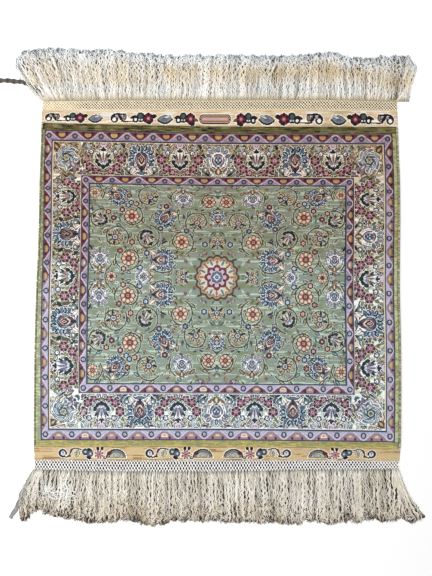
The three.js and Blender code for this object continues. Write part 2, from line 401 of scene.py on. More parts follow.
    def curls(self, x, y, colour):
        """Curled petals round x, y, one of each silk."""
        for step, silk in enumerate(colour):
            curl = [(math.radians(60 * step + 22 * k), 16.2 - 1.9 * k) for k in range(6)]
            path = [(x + reach * math.cos(angle), y + reach * math.sin(angle)) for angle, reach in curl]
            self.vine(6.0, *path, colour="pearl")
            self.vine(4.2, *path, colour=silk)
            self.vine(1.0, *path[1:4], colour="ice")

    def rosette(self, x, y, radius=7.4, petals=6, *, colour):
        """Round flower with dark dots between its petals, in the silks of its rim, its middle and its eye."""
        self.flower(x, y, radius, petals, 0.16, 90.0 + 180 / petals, colour=colour[0])
        self.beads(x, y, radius * 0.8, petals, radius * 0.29, 90.0, colour="garnet")
        self.disc(x, y, radius * 0.44, colour[1])
        self.disc(x, y, radius * 0.16, colour[2])


def rounded(points, steps=5):
    """Smooth path through points, by the Catmull-Rom rule."""
    points = [np.array(point, float) for point in points]
    ends = [2 * points[0] - points[1], *points, 2 * points[-1] - points[-2]]
    path = []
    for a, b, c, d in zip(ends, ends[1:], ends[2:], ends[3:]):
        for share in np.arange(steps) / steps:
            square = (2 * a - 5 * b + 4 * c - d) * share**2
            cube = (3 * b - a - 3 * c + d) * share**3
            path.append(0.5 * (2 * b + (c - a) * share + square + cube))
    return [*path, points[-1]]


# Motifs of the pile


def drawn(*groups):
    """Motif that is made of groups of shapes."""
    return lambda pen: pen.draw(*groups)


ROSE = ("rose", "pink", "crimson")
WARM_LEAVES = "bark umber olive slate brown garnet bark umber teal brown mauve leaf".split()
COOL_LEAVES = "slate teal olive mauve grey dusky navy sage teal mauve slate leaf".split()


def ground_cover(pen, seed, count, names, half_length=33.0, half_width=27.0):
    """Leaves that fill the ground, the same on both sides, every other one with a light rim."""
    random = np.random.default_rng(seed)
    for step in range(count):
        x = random.uniform(0, half_length)
        y = random.uniform(-half_width, half_width)
        length = random.uniform(10, 17)
        width = random.uniform(4.0, 7.2)
        turn = random.uniform(0, 180)
        if step % 2:
            pen.draw(("both leaf", "pearl" if step % 3 else "sand", (x, y, length + 2, width + 1.8, turn)))
        pen.draw(("both leaf", names[step % len(names)], (x, y, length, width, turn)))


def dark_palmette(second, fourth):
    """Fan of long petals over five black lobes, with black side leaves and a black sprig."""
    petals = []
    for lean, silk, length, width in (
        (64, "grey", 13.0, 4.4), (50, second, 15.0, 3.2), (28, "slate", 17.0, 4.0), (14, fourth, 17.0, 2.6)
    ):
        upright = math.radians(90 - lean)
        reach = length / 2 - 1
        place = (reach * math.cos(upright), reach * math.sin(upright) - 5)
        petals.append(("both leaf", silk, (*place, length, width, 90 - lean)))
    return drawn(
        *petals,
        ("leaf", "grey", (0, 3.6, 18, 3.4, 90)),
        ("leaf", "bark", (0, 4.6, 12, 1.1, 90), (0, -12.2, 8.4, 8.0, 90), (0, 15.6, 8.2, 4.4, 90)),
        ("both leaf", "bark", (3.8, 2.6, 13, 1.1, 69), (9.0, 5.4, 9.5, 3.8, 52), (6.0, 8.2, 6.5, 2.0, 64),
         (10.4, -3.8, 10.0, 6.6, 70), (6.6, -9.2, 9.0, 6.2, 48), (3.2, -10.8, 6.0, 3.6, 66),
         (2.9, 13.6, 6.4, 3.2, 42)),
        ("both disc", "mauve", (6.0, -4.6, 2.0)),
        ("both disc", "ice", (6.0, -4.6, 1.1)),
        ("disc", "plum", (0, -6.2, 3.0)),
        ("disc", "ice", (0, -6.2, 2.0)),
    )


def light_palmette(petals, body):
    """Palmette of serrated petals about a pale shield with dark spots."""
    return drawn(
        ("arc", "navy", (0, 1.6, 12.6, 9.0, -20, 200)),
        ("petals", petals, (1.6, 13, 11.0, 7.0, 0.22)),
        ("arc", "ice", (0, 0.6, 10.6, 0.9, -20, 200)),
        ("disc", "navy", (0, 0.2, 10.0)),
        ("leaf", "navy", (0, -8.0, 17, 13.5, 90)),
        ("disc", "plum", (0, 0.2, 8.8)),
        ("leaf", "plum", (0, -8.0, 14, 10.6, 90)),
        ("both leaf", "grey", (7.4, -0.6, 12, 2.4, 78)),
        ("leaf", body, (0, -1.4, 18, 12.4, 90)),
        ("both leaf", "umber", (4.2, -0.6, 11, 1.2, 80)),
        ("leaf", "bark", (0, -0.4, 13.5, 7.6, 90)),
        ("leaf", "blush", (0, 0.4, 10, 4.8, 90)),
        ("leaf", "crimson", (0, 0.6, 6, 1.8, 90)),
        ("leaf", "bark", (0, -12.0, 7, 4.6, 90)),
        ("disc", "ice", (0, 9.4, 2.6)),
        ("disc", "bark", (0, 9.4, 1.6)),
        ("both vine", "plum", (2.4, (12.6, -5.5), (10.8, -10.5), (6.8, -14.5))),
        ("both leaf", "peach", (11.6, -15.6, 12, 5.4, -56)),
        ("both leaf", "pearl", (12.2, -16.4, 9, 2.2, -56)),
        ("both leaf", "plum", (7.4, -19.2, 8, 2.6, -30)),
        ("oval", "slate", (0, -18.8, 6.6, 2.8)),
        ("leaf", "bark", (0, -15.0, 6, 4.6, 90)),
    )


warm_palmette = dark_palmette("tan", "peach")
cool_palmette = dark_palmette("mauve", "blush")
blue_palmette = light_palmette("blue navy slate navy blue navy teal".split(), "peach")
teal_palmette = light_palmette("teal navy slate navy teal blue slate".split(), "tan")

# Tulip of grey and lilac petals round a light blue bowl
mauve_palmette = drawn(
    ("petals", ("mauve", "grey", "slate"), (2.0, 11, 11.0, 6.2, 0.14)),
    ("both leaf", "grey", (13.6, -3.0, 17, 5.4, 80)),
    ("both leaf", "white", (12.6, -2.0, 13, 1.8, 78)),
    ("disc", "white", (0, 0.6, 10.8)),
    ("disc", "mauve", (0, 0.6, 9.6)),
    ("disc", "lilac", (0, 0.6, 8.4)),
    ("both leaf", "white", (5.6, 2.6, 12, 1.8, 66)),
    ("both leaf", "plum", (2.2, 6.0, 8, 1.4, 80)),
    ("disc", "slate", (0, 0.6, 5.4)),
    ("disc", "ice", (0, 0.8, 4.4)),
    ("oval", "blue", (0, 2.6, 3.0, 1.4)),
    ("both oval", "navy", (2.6, -1.6, 1.5, 1.2, 30)),
    ("disc", "bark", (0, -0.2, 1.4)),
    ("oval", "navy", (0, -7.6, 5.0, 2.4)),
    ("oval", "ice", (0, -7.4, 3.6, 1.2)),
    ("oval", "umber", (0, -15.8, 5.4, 5.4)),
    ("leaf", "straw", (0, -15.8, 8, 3.2, 90)),
    ("both disc", "grey", (7.8, -19.8, 3.2)),
    ("both disc", "pearl", (7.8, -19.8, 1.6)),
    ("both leaf", "tan", (9.2, -13.6, 11, 4.6, 36)),
    ("both leaf", "bark", (9.4, -13.6, 7, 1.4, 36)),
)

# Stem with rosettes, flowers and leaves that surrounds a dark palmette
dark_palmette_setting = drawn(
    ("both vine", "brown",
     (1.2, (3, -19), (12, -21.5), (21, -18), (27, -10), (30, 0), (33.5, 9), (31, 19), (25, 25)),
     (1.1, (13, 24), (10, 19), (13, 14), (19, 11))),
    ("oval", "olive", (0, -18.6, 7.0, 3.6)),
    ("oval", "grey", (0, -18.6, 3.6, 1.5)),
    ("flower", "plum", (0, 24.4, 8.0, 9, 0.16)),
    ("flower", "blush", (0, 24.6, 7.0, 9, 0.16)),
    ("flower", "pink", (0, 25.4, 3.6, 7, 0.2)),
    ("both leaf", "brown", (13.0, 20.8, 11, 4.6, 96)),
    ("both leaf", "peach", (13.0, 20.8, 8, 2.0, 96)),
    ("both leaf", "umber", (9.4, 19.0, 6, 2.4, 140)),
    ("both leaf", "olive", (18.0, 22.4, 10, 3.6, 70)),
    ("both flower", "slate", (20.6, 11.4, 5.6, 5, 0.3)),
    ("both arc", "navy", (20.6, 11.4, 3.472, 1.1, -180, 180)),
    ("both disc", "white", (20.6, 11.4, 2.576)),
    ("both disc", "mauve", (21.2, 11.0, 1.344)),
    ("both leaf", "grey", (25.8, 20.2, 12, 4.6, 54)),
    ("both leaf", "ice", (25.8, 20.2, 9, 1.6, 54)),
    ("both leaf", "leaf", (19.0, -3.4, 9, 4.2, 60)),
    ("both leaf", "pale_sage", (15.4, 3.6, 8, 2.8, 100)),
    ("both leaf", "sage", (15.6, -11.2, 8, 3.0, 28)),
    ("both rosette", ROSE, (30.6, 0.8, 8.0), (22.8, -13.4, 7.2), (12.4, -19.6, 5.4, 5)),
    ("both disc", "crimson", (5.6, -23.4, 1.8)),
    ("both disc", "garnet", (17.2, -23.4, 1.6)),
    ("both leaf", "bark", (26.8, -21.4, 8, 3.4, 12)),
    ("both leaf", "leaf", (35.6, 13.6, 11, 4.8, 66)),
    ("both leaf", "olive", (35.6, 13.6, 9, 1.3, 66), (29.6, 11.0, 7, 2.8, 130)),
)

# Crossing vines above and ringed flowers below a light palmette
light_palmette_setting = drawn(
    ("both vine", "brown", (1.2, (-8, 25), (0, 21.5), (9, 23), (17, 19.5), (26, 23))),
    ("both leaf", "leaf", (16.4, 19.2, 11, 5.0, 150)),
    ("both leaf", "olive", (16.4, 19.4, 8, 1.4, 150)),
    ("both leaf", "umber", (8.4, 24.4, 8, 3.2, 20)),
    ("both leaf", "tan", (22.0, 15.2, 9, 3.4, 112)),
    ("both leaf", "bark", (19.6, -21.8, 12, 4.6, 24)),
    ("both disc", "teal", (22.6, -15.8, 5.2)),
    ("both disc", "grey", (22.0, -15.2, 3.2)),
    ("both disc", "white", (21.6, -14.8, 1.5)),
    ("both leaf", "sage", (20.6, -7.8, 9, 3.2, 74)),
)

# Round flower of curled petals in a corner of the main border, with y along the diagonal to the corner
corner_palmette = drawn(
    ("both vine", "brown",
     (1.4, (4, 27), (10, 19), (19, 12), (27, 2)),
     (1.2, (19, 12), (21, 0), (24, -12), (22, -24))),
    ("leaf", "brown", (0, 25.5, 17, 12.0, 90)),
    ("leaf", "umber", (0, 25.0, 13, 7.4, 90)),
    ("leaf", "gold", (0, 24.5, 8, 2.8, 90)),
    ("both leaf", "orange", (9.0, 20.4, 13, 5.0, 146)),
    ("both leaf", "peach", (9.0, 20.0, 8, 1.8, 146)),
    ("flower", "umber", (0, 2, 18.0, 10, 0.12)),
    ("curls", "slate sage mauve grey teal slate".split(), (0, 2)),
    ("disc", "bark", (0, 2, 6.6)),
    ("flower", "pale_sage", (0, 2, 5.8, 6, 0.2)),
    ("disc", "gold", (0, 2, 3.2)),
    ("disc", "teal", (0, 2, 1.5)),
    ("both leaf", "grey", (11.8, -8.6, 16, 6.0, 112, 1.2)),
    ("both leaf", "white", (11.8, -8.6, 11, 1.6, 112, 1.2)),
    ("leaf", "mauve", (0, -13.5, 14, 7.6, 90)),
    ("leaf", "blush", (0, -13.0, 9, 2.6, 90)),
    ("both leaf", "olive", (14.6, -19.0, 10, 4.4, 40)),
    ("both leaf", "umber", (11.4, -24.6, 9, 3.8, 70)),
    ("both vine", "umber", (2.6, (27, 16), (30, 6), (26, -4), (19, -8), (17, -14))),
    ("both vine", "cream", (1.2, (27, 16), (30, 6), (26, -4), (19, -8))),
    ("both leaf", "sage", (23.0, 9.0, 11, 4.4, 130)),
    ("both leaf", "tan", (17.0, 16.4, 8, 3.4, 170)),
    ("disc", "crimson", (0, -23.5, 2.6)),
)


# Borders


def ring_frame(chart, outer, inner):
    """Place of every knot in the frame between two boxes.

    It is the side by number, the shares of the way along it and out across it, and its width there."""
    x = chart.x[None, :]
    y = chart.y[:, None]
    out = np.stack(
        np.broadcast_arrays(
            (inner[0] - x) / (inner[0] - outer[0]),
            (x - inner[2]) / (outer[2] - inner[2]),
            (y - inner[3]) / (outer[3] - inner[3]),
            (inner[1] - y) / (inner[1] - outer[1]),
        )
    )
    middle = [(near + far) / 2 for near, far in zip(inner, outer)]
    across = (x - middle[0]) / (middle[2] - middle[0]) + 0 * y
    upward = (y - middle[1]) / (middle[3] - middle[1]) + 0 * x
    side = out.argmax(0)
    widths = np.array([abs(outer[i] - inner[i]) for i in (0, 2, 3, 1)])
    return side, np.where(side < 2, upward, across), out.max(0), widths[side]


GOLDEN = (("umber", "orange", "gold"), ("brown", "orange", "tan"), ("umber", "gold", "orange"))
MIXED = (("umber", "tan", "gold"), ("mauve", "tan", "peach"), ("umber", "orange", "gold"))
ROSY = (("dusky", "tan", "peach"), ("dusky", "peach", "tan"), ("rose", "tan", "blush"))

# Sides of a frame by number, and the silks of the guards' half blossoms on each
LEFT, RIGHT, TOP, BOTTOM = range(4)
BLOSSOM_SILKS = (MIXED, MIXED, GOLDEN, ROSY)
BLOSSOMS = np.array([[[NUMBER[name] for name in blossom] for blossom in silks] for silks in BLOSSOM_SILKS])


def guard(chart, outer, inner, across, upward, paler, hollow, rim):
    """Narrow border: a wave that arches over ringed flowers, with a half blossom in each of its hollows.

    The repeats are those across the ends and up the sides. Along the bottom and up the given shares of both
    sides the silks are paler, with silks of their own outside the wave and round the blossoms."""
    side, along, out, width = ring_frame(chart, outer, inner)
    repeat = np.where(side < TOP, upward, across)
    step = along * repeat
    pitch = np.where(side < TOP, outer[3] - outer[1], outer[2] - outer[0]) / repeat
    from_flower = (step - np.rint(step)) * pitch
    from_blossom = (step - np.floor(step) - 0.5) * pitch
    far = (1.0 - out) * width
    swing = np.cos(2 * np.pi * step)
    wave = 0.48 + 0.4 * np.sign(swing) * np.abs(swing) ** 1.15
    off_wave = (out - wave) * width * 0.72
    cells = np.where(off_wave < 0, NUMBER["lilac"], NUMBER["wine"])
    cells[(off_wave < -1.9) & (off_wave > -3.0)] = NUMBER["mauve"]
    cells[(off_wave < -4.6) & (out * width < 5.0)] = NUMBER["mauve"]
    cells[(off_wave > 0) & (far > 0.52 * width)] = NUMBER["mauve"]
    cells[np.abs(off_wave) < 0.52] = NUMBER["blush"]
    low = (side == BOTTOM) | ((side == LEFT) & (along < paler[0])) | ((side == RIGHT) & (along < paler[1]))
    for silk, other in (("lilac", "pale_lilac"), ("mauve", "lilac"), ("wine", hollow)):
        cells[low & (cells == NUMBER[silk])] = NUMBER[other]
    cells[low & (cells == NUMBER["blush"]) & (np.abs(off_wave) > 0.3)] = NUMBER["pale_lilac"]
    middle = 0.36 * width
    blossom = np.hypot(from_blossom / 6.6, (far - middle) / (0.29 * width))
    variety = np.floor(step * 1.01).astype(int) % 3
    shade = (far - middle) / width
    cells = np.where(blossom < 1.3, np.where(low, NUMBER[rim], NUMBER["garnet"]), cells)
    cells = np.where(blossom < 1.02, BLOSSOMS[side, variety, 0], cells)
    cells = np.where((blossom < 0.86) & (shade > -0.12), BLOSSOMS[side, variety, 1], cells)
    cells = np.where((blossom < 0.5) & (shade > 0.02), BLOSSOMS[side, variety, 2], cells)
    cells[np.hypot(np.abs(from_blossom) - 8.6, far - 3.6) < 2.0] = NUMBER["garnet"]
    flower = np.hypot(from_flower, (out - 0.5) * width)
    for reach, silk in ((5.2, "mauve"), (4.3, "navy"), (2.4, "mauve")):
        cells[flower < reach] = NUMBER[silk]
    cells[low & (flower < 2.4)] = NUMBER["pale_lilac"]
    cells[flower < 1.2] = NUMBER["grey"]
    edge = np.where(out > 0.5, far + 0.4, out * width - 0.7)
    for reach, silk in ((2.2, "mauve"), (1.6, "plum"), (1.0, "navy")):
        cells[edge < reach] = NUMBER[silk]
    inside = (out > 0) & (out <= 1)
    chart.cells[inside] = cells[inside]


def main_border(chart, outer, inner):
    """Wide border of palmettes, dark and light by turns, on cream."""
    side, _, out, width = ring_frame(chart, outer, inner)
    inside = (out > 0) & (out <= 1)
    before = chart.cells.copy()
    random = np.random.default_rng(17)
    ground = Chart(chart.x.size, chart.y.size, "cream")
    for box, silks in (
        ((0, 0, chart.x.size, chart.y.size), "sand cream cream pearl"),
        ((0, 0, chart.x.size, int(inner[1])), "cream pearl pearl ice"),
        ((int(inner[2]), int(inner[1]), chart.x.size, int((inner[1] + inner[3]) / 2)), "cream pearl pearl"),
    ):
        streaked(ground, box, silks, random, (3, 30))
    chart.cells[inside] = ground.cells[inside]
    left, bottom, right, top = [(near + far) / 2 for near, far in zip(inner, outer)]
    flanks = [bottom + (top - bottom) * (step + 1) / 6 for step in range(5)]
    by_turns = (blue_palmette, mauve_palmette, blue_palmette)
    # Palmettes of each side: places, light ones in order, leaves in the ground about each, and the outlines
    runs = (
        ([(105.6 + 64.45 * step, top, 0) for step in range(7)], by_turns, 96, "cream"),
        ([(106.9 + 63.4 * step, bottom, 180) for step in range(7)], by_turns, 56, "pearl"),
        ([(left, y, 90) for y in flanks], (blue_palmette, teal_palmette), 76, "cream"),
        ([(right, y, -90) for y in flanks], by_turns, 36, "cream"),
    )
    corners = ((left, top, 45), (right, top, -45), (right, bottom, -135), (left, bottom, 135))
    for place in corners:
        leaves = COOL_LEAVES if place[1] == bottom else WARM_LEAVES
        ground_cover(Pen(chart, *place), 7, 60, leaves, 34, 34)
    for places, _, count, line in runs:
        for number, place in enumerate(places):
            leaves = COOL_LEAVES if line == "pearl" else WARM_LEAVES
            ground_cover(Pen(chart, *place), 5 if number % 2 else 6, count, leaves)
    for places, light, _, line in runs:
        for place in places[0::2]:
            chart.outlined(dark_palmette_setting, *place, colour=line)
        for place, motif in zip(places[1::2], light):
            chart.outlined(light_palmette_setting, *place, colour=line)
            chart.outlined(motif, *place, size=1.14)
        for place in places[0::2]:
            motif = cool_palmette if place[1] < (bottom + top) / 3 else warm_palmette
            chart.outlined(motif, *place, width=0.9, size=1.04)
    for place in corners:
        chart.outlined(corner_palmette, *place, colour="pearl" if place[1] == bottom else "sand", size=1.06)
    edge = inside & (np.minimum(out, 1 - out) * width < 1.2)
    chart.cells[edge] = np.where(side == BOTTOM, NUMBER["pearl"], NUMBER["cream"])[edge]
    chart.cells[~inside] = before[~inside]


# Field

# Round blossom with a ring of petals
peony = drawn(
    ("flower", "brown", (0, 0, 15, 8, 0.16)),
    ("flower", "cream", (0, 0, 13.4, 8, 0.16)),
    ("wreath", ["terracotta"], (0, 0, 8.6, 8, 9, 3.2, 22.5)),
    ("flower", "wine", (0, 0, 6.6, 8, 0.2)),
    ("disc", "gold", (0, 0, 3.4)),
    ("disc", "navy", (0, 0, 1.4)),
)

# Half wreath of petals over a round eye
lotus = drawn(
    ("wreath", ("tan", "umber"), (0, -3, 9, 12, 13, 6.4, 0.0, 6)),
    ("wreath", ["cream"], (0, -3, 9, 12, 8, 1.6, 0.0, 6)),
    ("disc", "navy", (0, -2, 6.4)),
    ("disc", "ice", (0, -2, 4.8)),
    ("disc", "terracotta", (0, -2, 2.6)),
    ("both leaf", "bark", (8.5, -9.0, 12, 5.0, -30)),
    ("leaf", "teal", (0, -12, 9, 5, 90)),
)

# Rosette in the middle of the field
medallion = drawn(
    ("flower", "brown", (0, 0, 37, 16, 0.1)),
    ("flower", "tan", (0, 0, 35, 16, 0.1)),
    ("flower", "cream", (0, 0, 31, 16, 0.12)),
    ("wreath", ("terracotta", "slate"), (0, 0, 25.5, 16, 11, 4.0)),
    ("flower", "wine", (0, 0, 21, 8, 0.2)),
    ("flower", "pink", (0, 0, 17, 8, 0.22)),
    ("beads", "navy", (0, 0, 12.5, 8, 2.0, 22.5)),
    ("flower", "slate", (0, 0, 10.5, 8, 0.25)),
    ("flower", "ice", (0, 0, 6.5, 8, 0.2)),
    ("disc", "umber", (0, 0, 3.2)),
    ("disc", "gold", (0, 0, 1.2)),
)

# Spiral vines of one quarter of the field: place, radius, start, direction, what blooms inside, its turn
SWIRLS = (
    (92, 28, 21, 200, 1, blue_palmette, 90), (148, 30, 20, 20, -1, peony, 0),
    (196, 28, 19, 200, 1, mauve_palmette, 0), (60, 58, 19, 250, -1, peony, 0),
    (118, 66, 20, 100, 1, warm_palmette, 150), (170, 66, 19, 210, -1, lotus, 60),
    (34, 94, 19, 300, 1, lotus, 20), (88, 102, 20, 190, -1, blue_palmette, 210),
    (144, 104, 20, 20, 1, peony, 0), (196, 98, 19, 200, -1, warm_palmette, 300),
    (58, 140, 19, 330, 1, mauve_palmette, 180), (114, 142, 20, 140, -1, lotus, 320),
    (168, 142, 19, 40, 1, blue_palmette, 130), (206, 148, 15, 220, -1, peony, 0),
    (14, 132, 16, 250, -1, peony, 0),
)
SWIRL_LEAVES = ("olive", "teal", "umber", "leaf", "bark")
SPRIGS = "olive brown bark teal leaf umber grey navy pale_sage".split()
BUDS = ("rose", "cream", "terracotta", "ice", "gold")
FIELD_ROSETTES = (("crimson", "pink", "gold"), ("slate", "ice", "navy"), ("terracotta", "cream", "wine"))

# Flowers along the middle lines of the field: how far out each is and its size
BESIDE_MEDALLION = ((58, lotus, 0.8), (122, mauve_palmette, 0.7), (176, peony, 0.6))
ABOVE_MEDALLION = ((58, lotus, 0.8), (102, blue_palmette, 0.65))


def swirl(pen, radius, start, spin):
    """Spiral vine round the middle of the pen, with leaves on its outer side."""
    steps = 22
    path = []
    for step in range(steps + 1):
        share = step / steps
        degrees = start + 400 * share * spin
        angle = math.radians(degrees)
        reach = radius * (1.12 - 0.56 * share)
        path.append((reach * math.cos(angle), reach * math.sin(angle)))
        if step % 4 == 2 and share < 0.8:
            place = ((reach + 3.4) * math.cos(angle), (reach + 3.4) * math.sin(angle))
            silk = SWIRL_LEAVES[step // 4 % len(SWIRL_LEAVES)]
            pen.leaf(*place, 13, 6.4, degrees + 70 * spin, colour=silk)
            pen.leaf(*place, 9, 1.1, degrees + 70 * spin, colour="cream")
    pen.vine(2.3, *path, colour="brown")


def scattered(chart, random):
    """Small sprigs and leaves all over the ground of the field."""
    rows, columns = chart.cells.shape
    for step in range(460):
        pen = Pen(chart, random.uniform(0, columns), random.uniform(0, rows), random.uniform(0, 360), reach=9)
        pen.leaf(0, 0, random.uniform(5, 12), random.uniform(1.8, 3.6), 0, colour=SPRIGS[step % len(SPRIGS)])
        if step % 4 == 0:
            pen.flower(0, 0, random.uniform(2.2, 3.4), 5, colour=BUDS[step // 4 % len(BUDS)])
            pen.disc(0, 0, 1.0, "wine")


def field_quarter(columns, rows):
    """Upper right quarter of the field."""
    quarter = Chart(columns, rows, "sage")
    random = np.random.default_rng(31)
    streaked(quarter, (0, 0, columns, rows), "leaf sage sage sage sage pale_sage", random, (1.2, 22))
    scattered(quarter, random)
    for x, y, radius, start, spin, _, _ in SWIRLS:
        vine = lambda pen: swirl(pen, radius, start, spin)
        quarter.outlined(vine, x, y, reach=36, colour="pale_sage", width=0.9)
    for x, y, radius, _, _, motif, turn in SWIRLS:
        quarter.outlined(motif, x, y, turn, colour="cream", size=radius / 22)
    for step in range(26):
        x, y = random.uniform(8, columns - 6), random.uniform(8, rows - 6)
        if min(math.hypot(x - row[0], y - row[1]) for row in SWIRLS) > 17:
            flower = drawn(("rosette", FIELD_ROSETTES[step % 3], (0, 0, 5.2)))
            quarter.outlined(flower, x, y, reach=12, colour="pale_sage")
    return quarter.cells


def field(chart, box):
    """All-over vines and flowers, the same in all four quarters, about a rosette."""
    left, bottom, right, top = [int(round(side)) for side in box]
    columns = (right - left + 1) // 2
    rows = (top - bottom + 1) // 2
    quarter = field_quarter(columns, rows)
    half = np.hstack([quarter[:, ::-1], quarter])
    whole = np.vstack([half[::-1], half])
    chart.cells[bottom : bottom + 2 * rows, left : left + 2 * columns] = whole
    x = left + columns
    y = bottom + rows
    for side in (-1, 1):
        for reach, motif, size in BESIDE_MEDALLION:
            chart.outlined(motif, x + side * reach, y, -90 * side, colour="cream", width=0.9, size=size)
        for reach, motif, size in ABOVE_MEDALLION:
            chart.outlined(motif, x, y + side * reach, 90 - 90 * side, colour="cream", width=0.9, size=size)
    chart.outlined(medallion, x, y, colour="brown", width=0.8)


def pile_chart(columns, rows):
    """Chart of the whole pile, from its plain edges to the field."""
    chart = Chart(columns, rows, "edge_green")
    boxes = []
    for rings in range(5):
        taken = {side: sum(widths[:rings]) for side, widths in BORDERS.items()}
        boxes.append((taken["left"], taken["bottom"], columns - taken["right"], rows - taken["top"]))
    random = np.random.default_rng(13)
    _, bottom, right, top = boxes[1]
    for box, silks, spans in (
        ((0, 0, columns, rows), "leaf edge_green leaf edge_green lime", (1.6, 5)),
        ((0, 0, columns, int(0.45 * rows)), "edge_green edge_green lime", (1.6, 5)),
        ((right, 0, columns, rows), "moss edge_green lime lime lime", (1.5, 3)),
        ((0, 0, columns, bottom), "leaf moss moss mustard moss moss", (1.0, 11)),
        ((0, top, columns, rows), "bark olive dark_band dark_band umber leaf", (1.1, 12)),
        ((0, 0, columns, 3), "mustard moss mustard", (1.2, 20)),
    ):
        streaked(chart, box, silks, random, spans)
    field(chart, boxes[4])
    main_border(chart, boxes[2], boxes[3])
    guard(chart, boxes[3], boxes[4], 10, 8, (0.2, 0.45), "wine", "garnet")
    guard(chart, boxes[1], boxes[2], 13, 11, (0.5, 0.8), "dusky", "mauve")
    return chart


# Brocaded motifs of the flat-woven ends

CRIMSON_ROSE = ("crimson", "rose", "pink")

# Ringed scroll, leaf, eyed flowers, star and half-moon leaf, about 115 mm long
brocade_scroll = drawn(
    ("disc", "navy", (-47, 0.8, 6.8)),
    ("disc", "ice", (-46.6, 0.8, 4.7)),
    ("leaf", "white", (-48.8, 0.6, 5, 2.0, 80), (-44.4, 0.6, 5, 2.0, 80)),
    ("disc", "slate", (-46.6, 2.0, 1.2)),
    ("leaf", "white", (-41.4, -3.4, 7, 2.4, -38)),
    ("vine", "navy", (2.1, (-43, -5.6), (-38, -4.6), (-34.4, 1.4), (-30.6, 7.6), (-24, 8.8), (-16.5, 6.6))),
    ("leaf", "plum", (-33.4, 4.6, 10, 3.8, 66)),
    ("leaf", "bark", (-36.6, -3.8, 9, 3.0, 6)),
    ("leaf", "pale_sage", (-23.6, 0.4, 14, 9.4, 72)),
    ("leaf", "leaf", (-24.4, 0.4, 10, 2.0, 72)),
    ("leaf", "straw", (-21.4, 0.2, 9, 1.6, 72)),
    ("leaf", "bark", (-2.4, 6.4, 10, 5.0, 150)),
    ("disc", "teal", (-10.0, 3.0, 5.6)),
    ("disc", "ice", (-9.8, 3.2, 2.7)),
    ("disc", "slate", (-2.2, 0.2, 5.4)),
    ("disc", "ice", (-1.6, 0.2, 2.8)),
    ("leaf", "bark", (-4.6, -6.0, 11, 5.0, -16)),
    ("leaf", "white", (5.0, -2.6, 6, 2.6, 60)),
    ("wreath", ["rose"], (12.6, -1.0, 5.4, 8, 6.4, 3.4, 22.5)),
    ("beads", "crimson", (12.6, -1.0, 7.0, 8, 0.9, 22.5)),
    ("disc", "pink", (12.6, -1.0, 3.8)),
    ("disc", "crimson", (12.6, -1.0, 1.6)),
    ("leaf", "bark", (10.6, 8.6, 7, 5.4, 120), (17.4, 8.6, 7, 5.4, 60), (22.6, -5.6, 9, 5.2, 20)),
    ("leaf", "white", (22.4, -5.2, 4, 1.6, 20)),
    ("arch", "bark", (40, -6.0, 16.4, 14.0)),
    ("arch", "grey", (40.4, -6.0, 14.6, 11.8)),
    ("arch", "pale_sage", (40.6, -5.8, 12.2, 9.0)),
    ("leaf", "ice", (42, -2.4, 15, 5.4, 4)),
    ("leaf", "lilac", (43, -2.6, 11, 1.6, 4)),
    ("oval", "crimson", (28.8, 1.6, 4.4, 2.8, 24)),
)

# Scroll with a ringed end, eyed flowers, rosette and bowl-shaped leaf, about 96 mm long
brocade_dark_scroll = drawn(
    ("vine", "bark", (3.0, (-47, -3.2), (-47.6, 1.5), (-43, 5.8), (-34, 6.2), (-26, 5.8))),
    ("disc", "navy", (-42.8, -1.2, 5.8)),
    ("disc", "white", (-43.2, -2.0, 2.8)),
    ("leaf", "lilac", (-38.4, 2.6, 8, 3.2, 10)),
    ("leaf", "bark", (-33.4, 0.6, 15, 5.2, -52)),
    ("leaf", "lilac", (-31.6, 3.4, 6, 2.0, -30)),
    ("leaf", "umber", (-26.8, 1.6, 11, 6.2, 80)),
    ("leaf", "grey", (-27.2, 1.8, 7, 2.4, 80)),
    ("vine", "brown", (1.8, (-32, -4.8), (-24, -5.0), (-14, -4.4))),
    ("leaf", "white", (-20.6, -2.2, 9, 2.4, 4)),
    ("leaf", "bark", (-12.6, 1.8, 14, 5.6, 12)),
    ("disc", "bark", (-10.2, -1.8, 4.8)),
    ("disc", "white", (-10.2, -1.6, 2.0)),
    ("oval", "navy", (-2.2, -2.0, 6.0, 3.4)),
    ("disc", "bark", (-2.4, 3.2, 6.0)),
    ("disc", "teal", (-2.8, 3.8, 3.9)),
    ("disc", "ice", (-4.3, -1.8, 1.3), (-0.5, -1.8, 1.3)),
    ("rosette", CRIMSON_ROSE, (9.8, 0.2, 8.0)),
    ("leaf", "bark", (18.8, 3.4, 9, 7.0, 4), (11.6, -6.2, 8, 4.4, 10), (35.6, -1.2, 26, 13.4, 4)),
    ("leaf", "grey", (36.0, -0.2, 22, 9.8, 6)),
    ("leaf", "slate", (34.4, -1.6, 13, 4.0, 0)),
    ("leaf", "ice", (39.0, 2.6, 14, 4.4, 20)),
)

# Short stretch with eyed flowers and a rosette
brocade_short = drawn(
    ("leaf", "bark", (-15.4, 2.2, 12, 5.0, 14)),
    ("disc", "bark", (-13.0, -1.8, 4.8)),
    ("disc", "white", (-13.0, -1.6, 2.0)),
    ("oval", "navy", (-4.8, -2.0, 6.0, 3.4)),
    ("disc", "bark", (-5.0, 3.2, 6.0)),
    ("disc", "teal", (-5.4, 3.8, 3.9)),
    ("disc", "ice", (-6.9, -1.8, 1.3), (-3.1, -1.8, 1.3)),
    ("rosette", CRIMSON_ROSE, (7.4, 0.2, 8.0)),
    ("leaf", "bark", (9.4, -7.0, 12, 5.0, 8)),
    ("leaf", "umber", (16.6, -1.6, 9, 5.0, -20)),
)

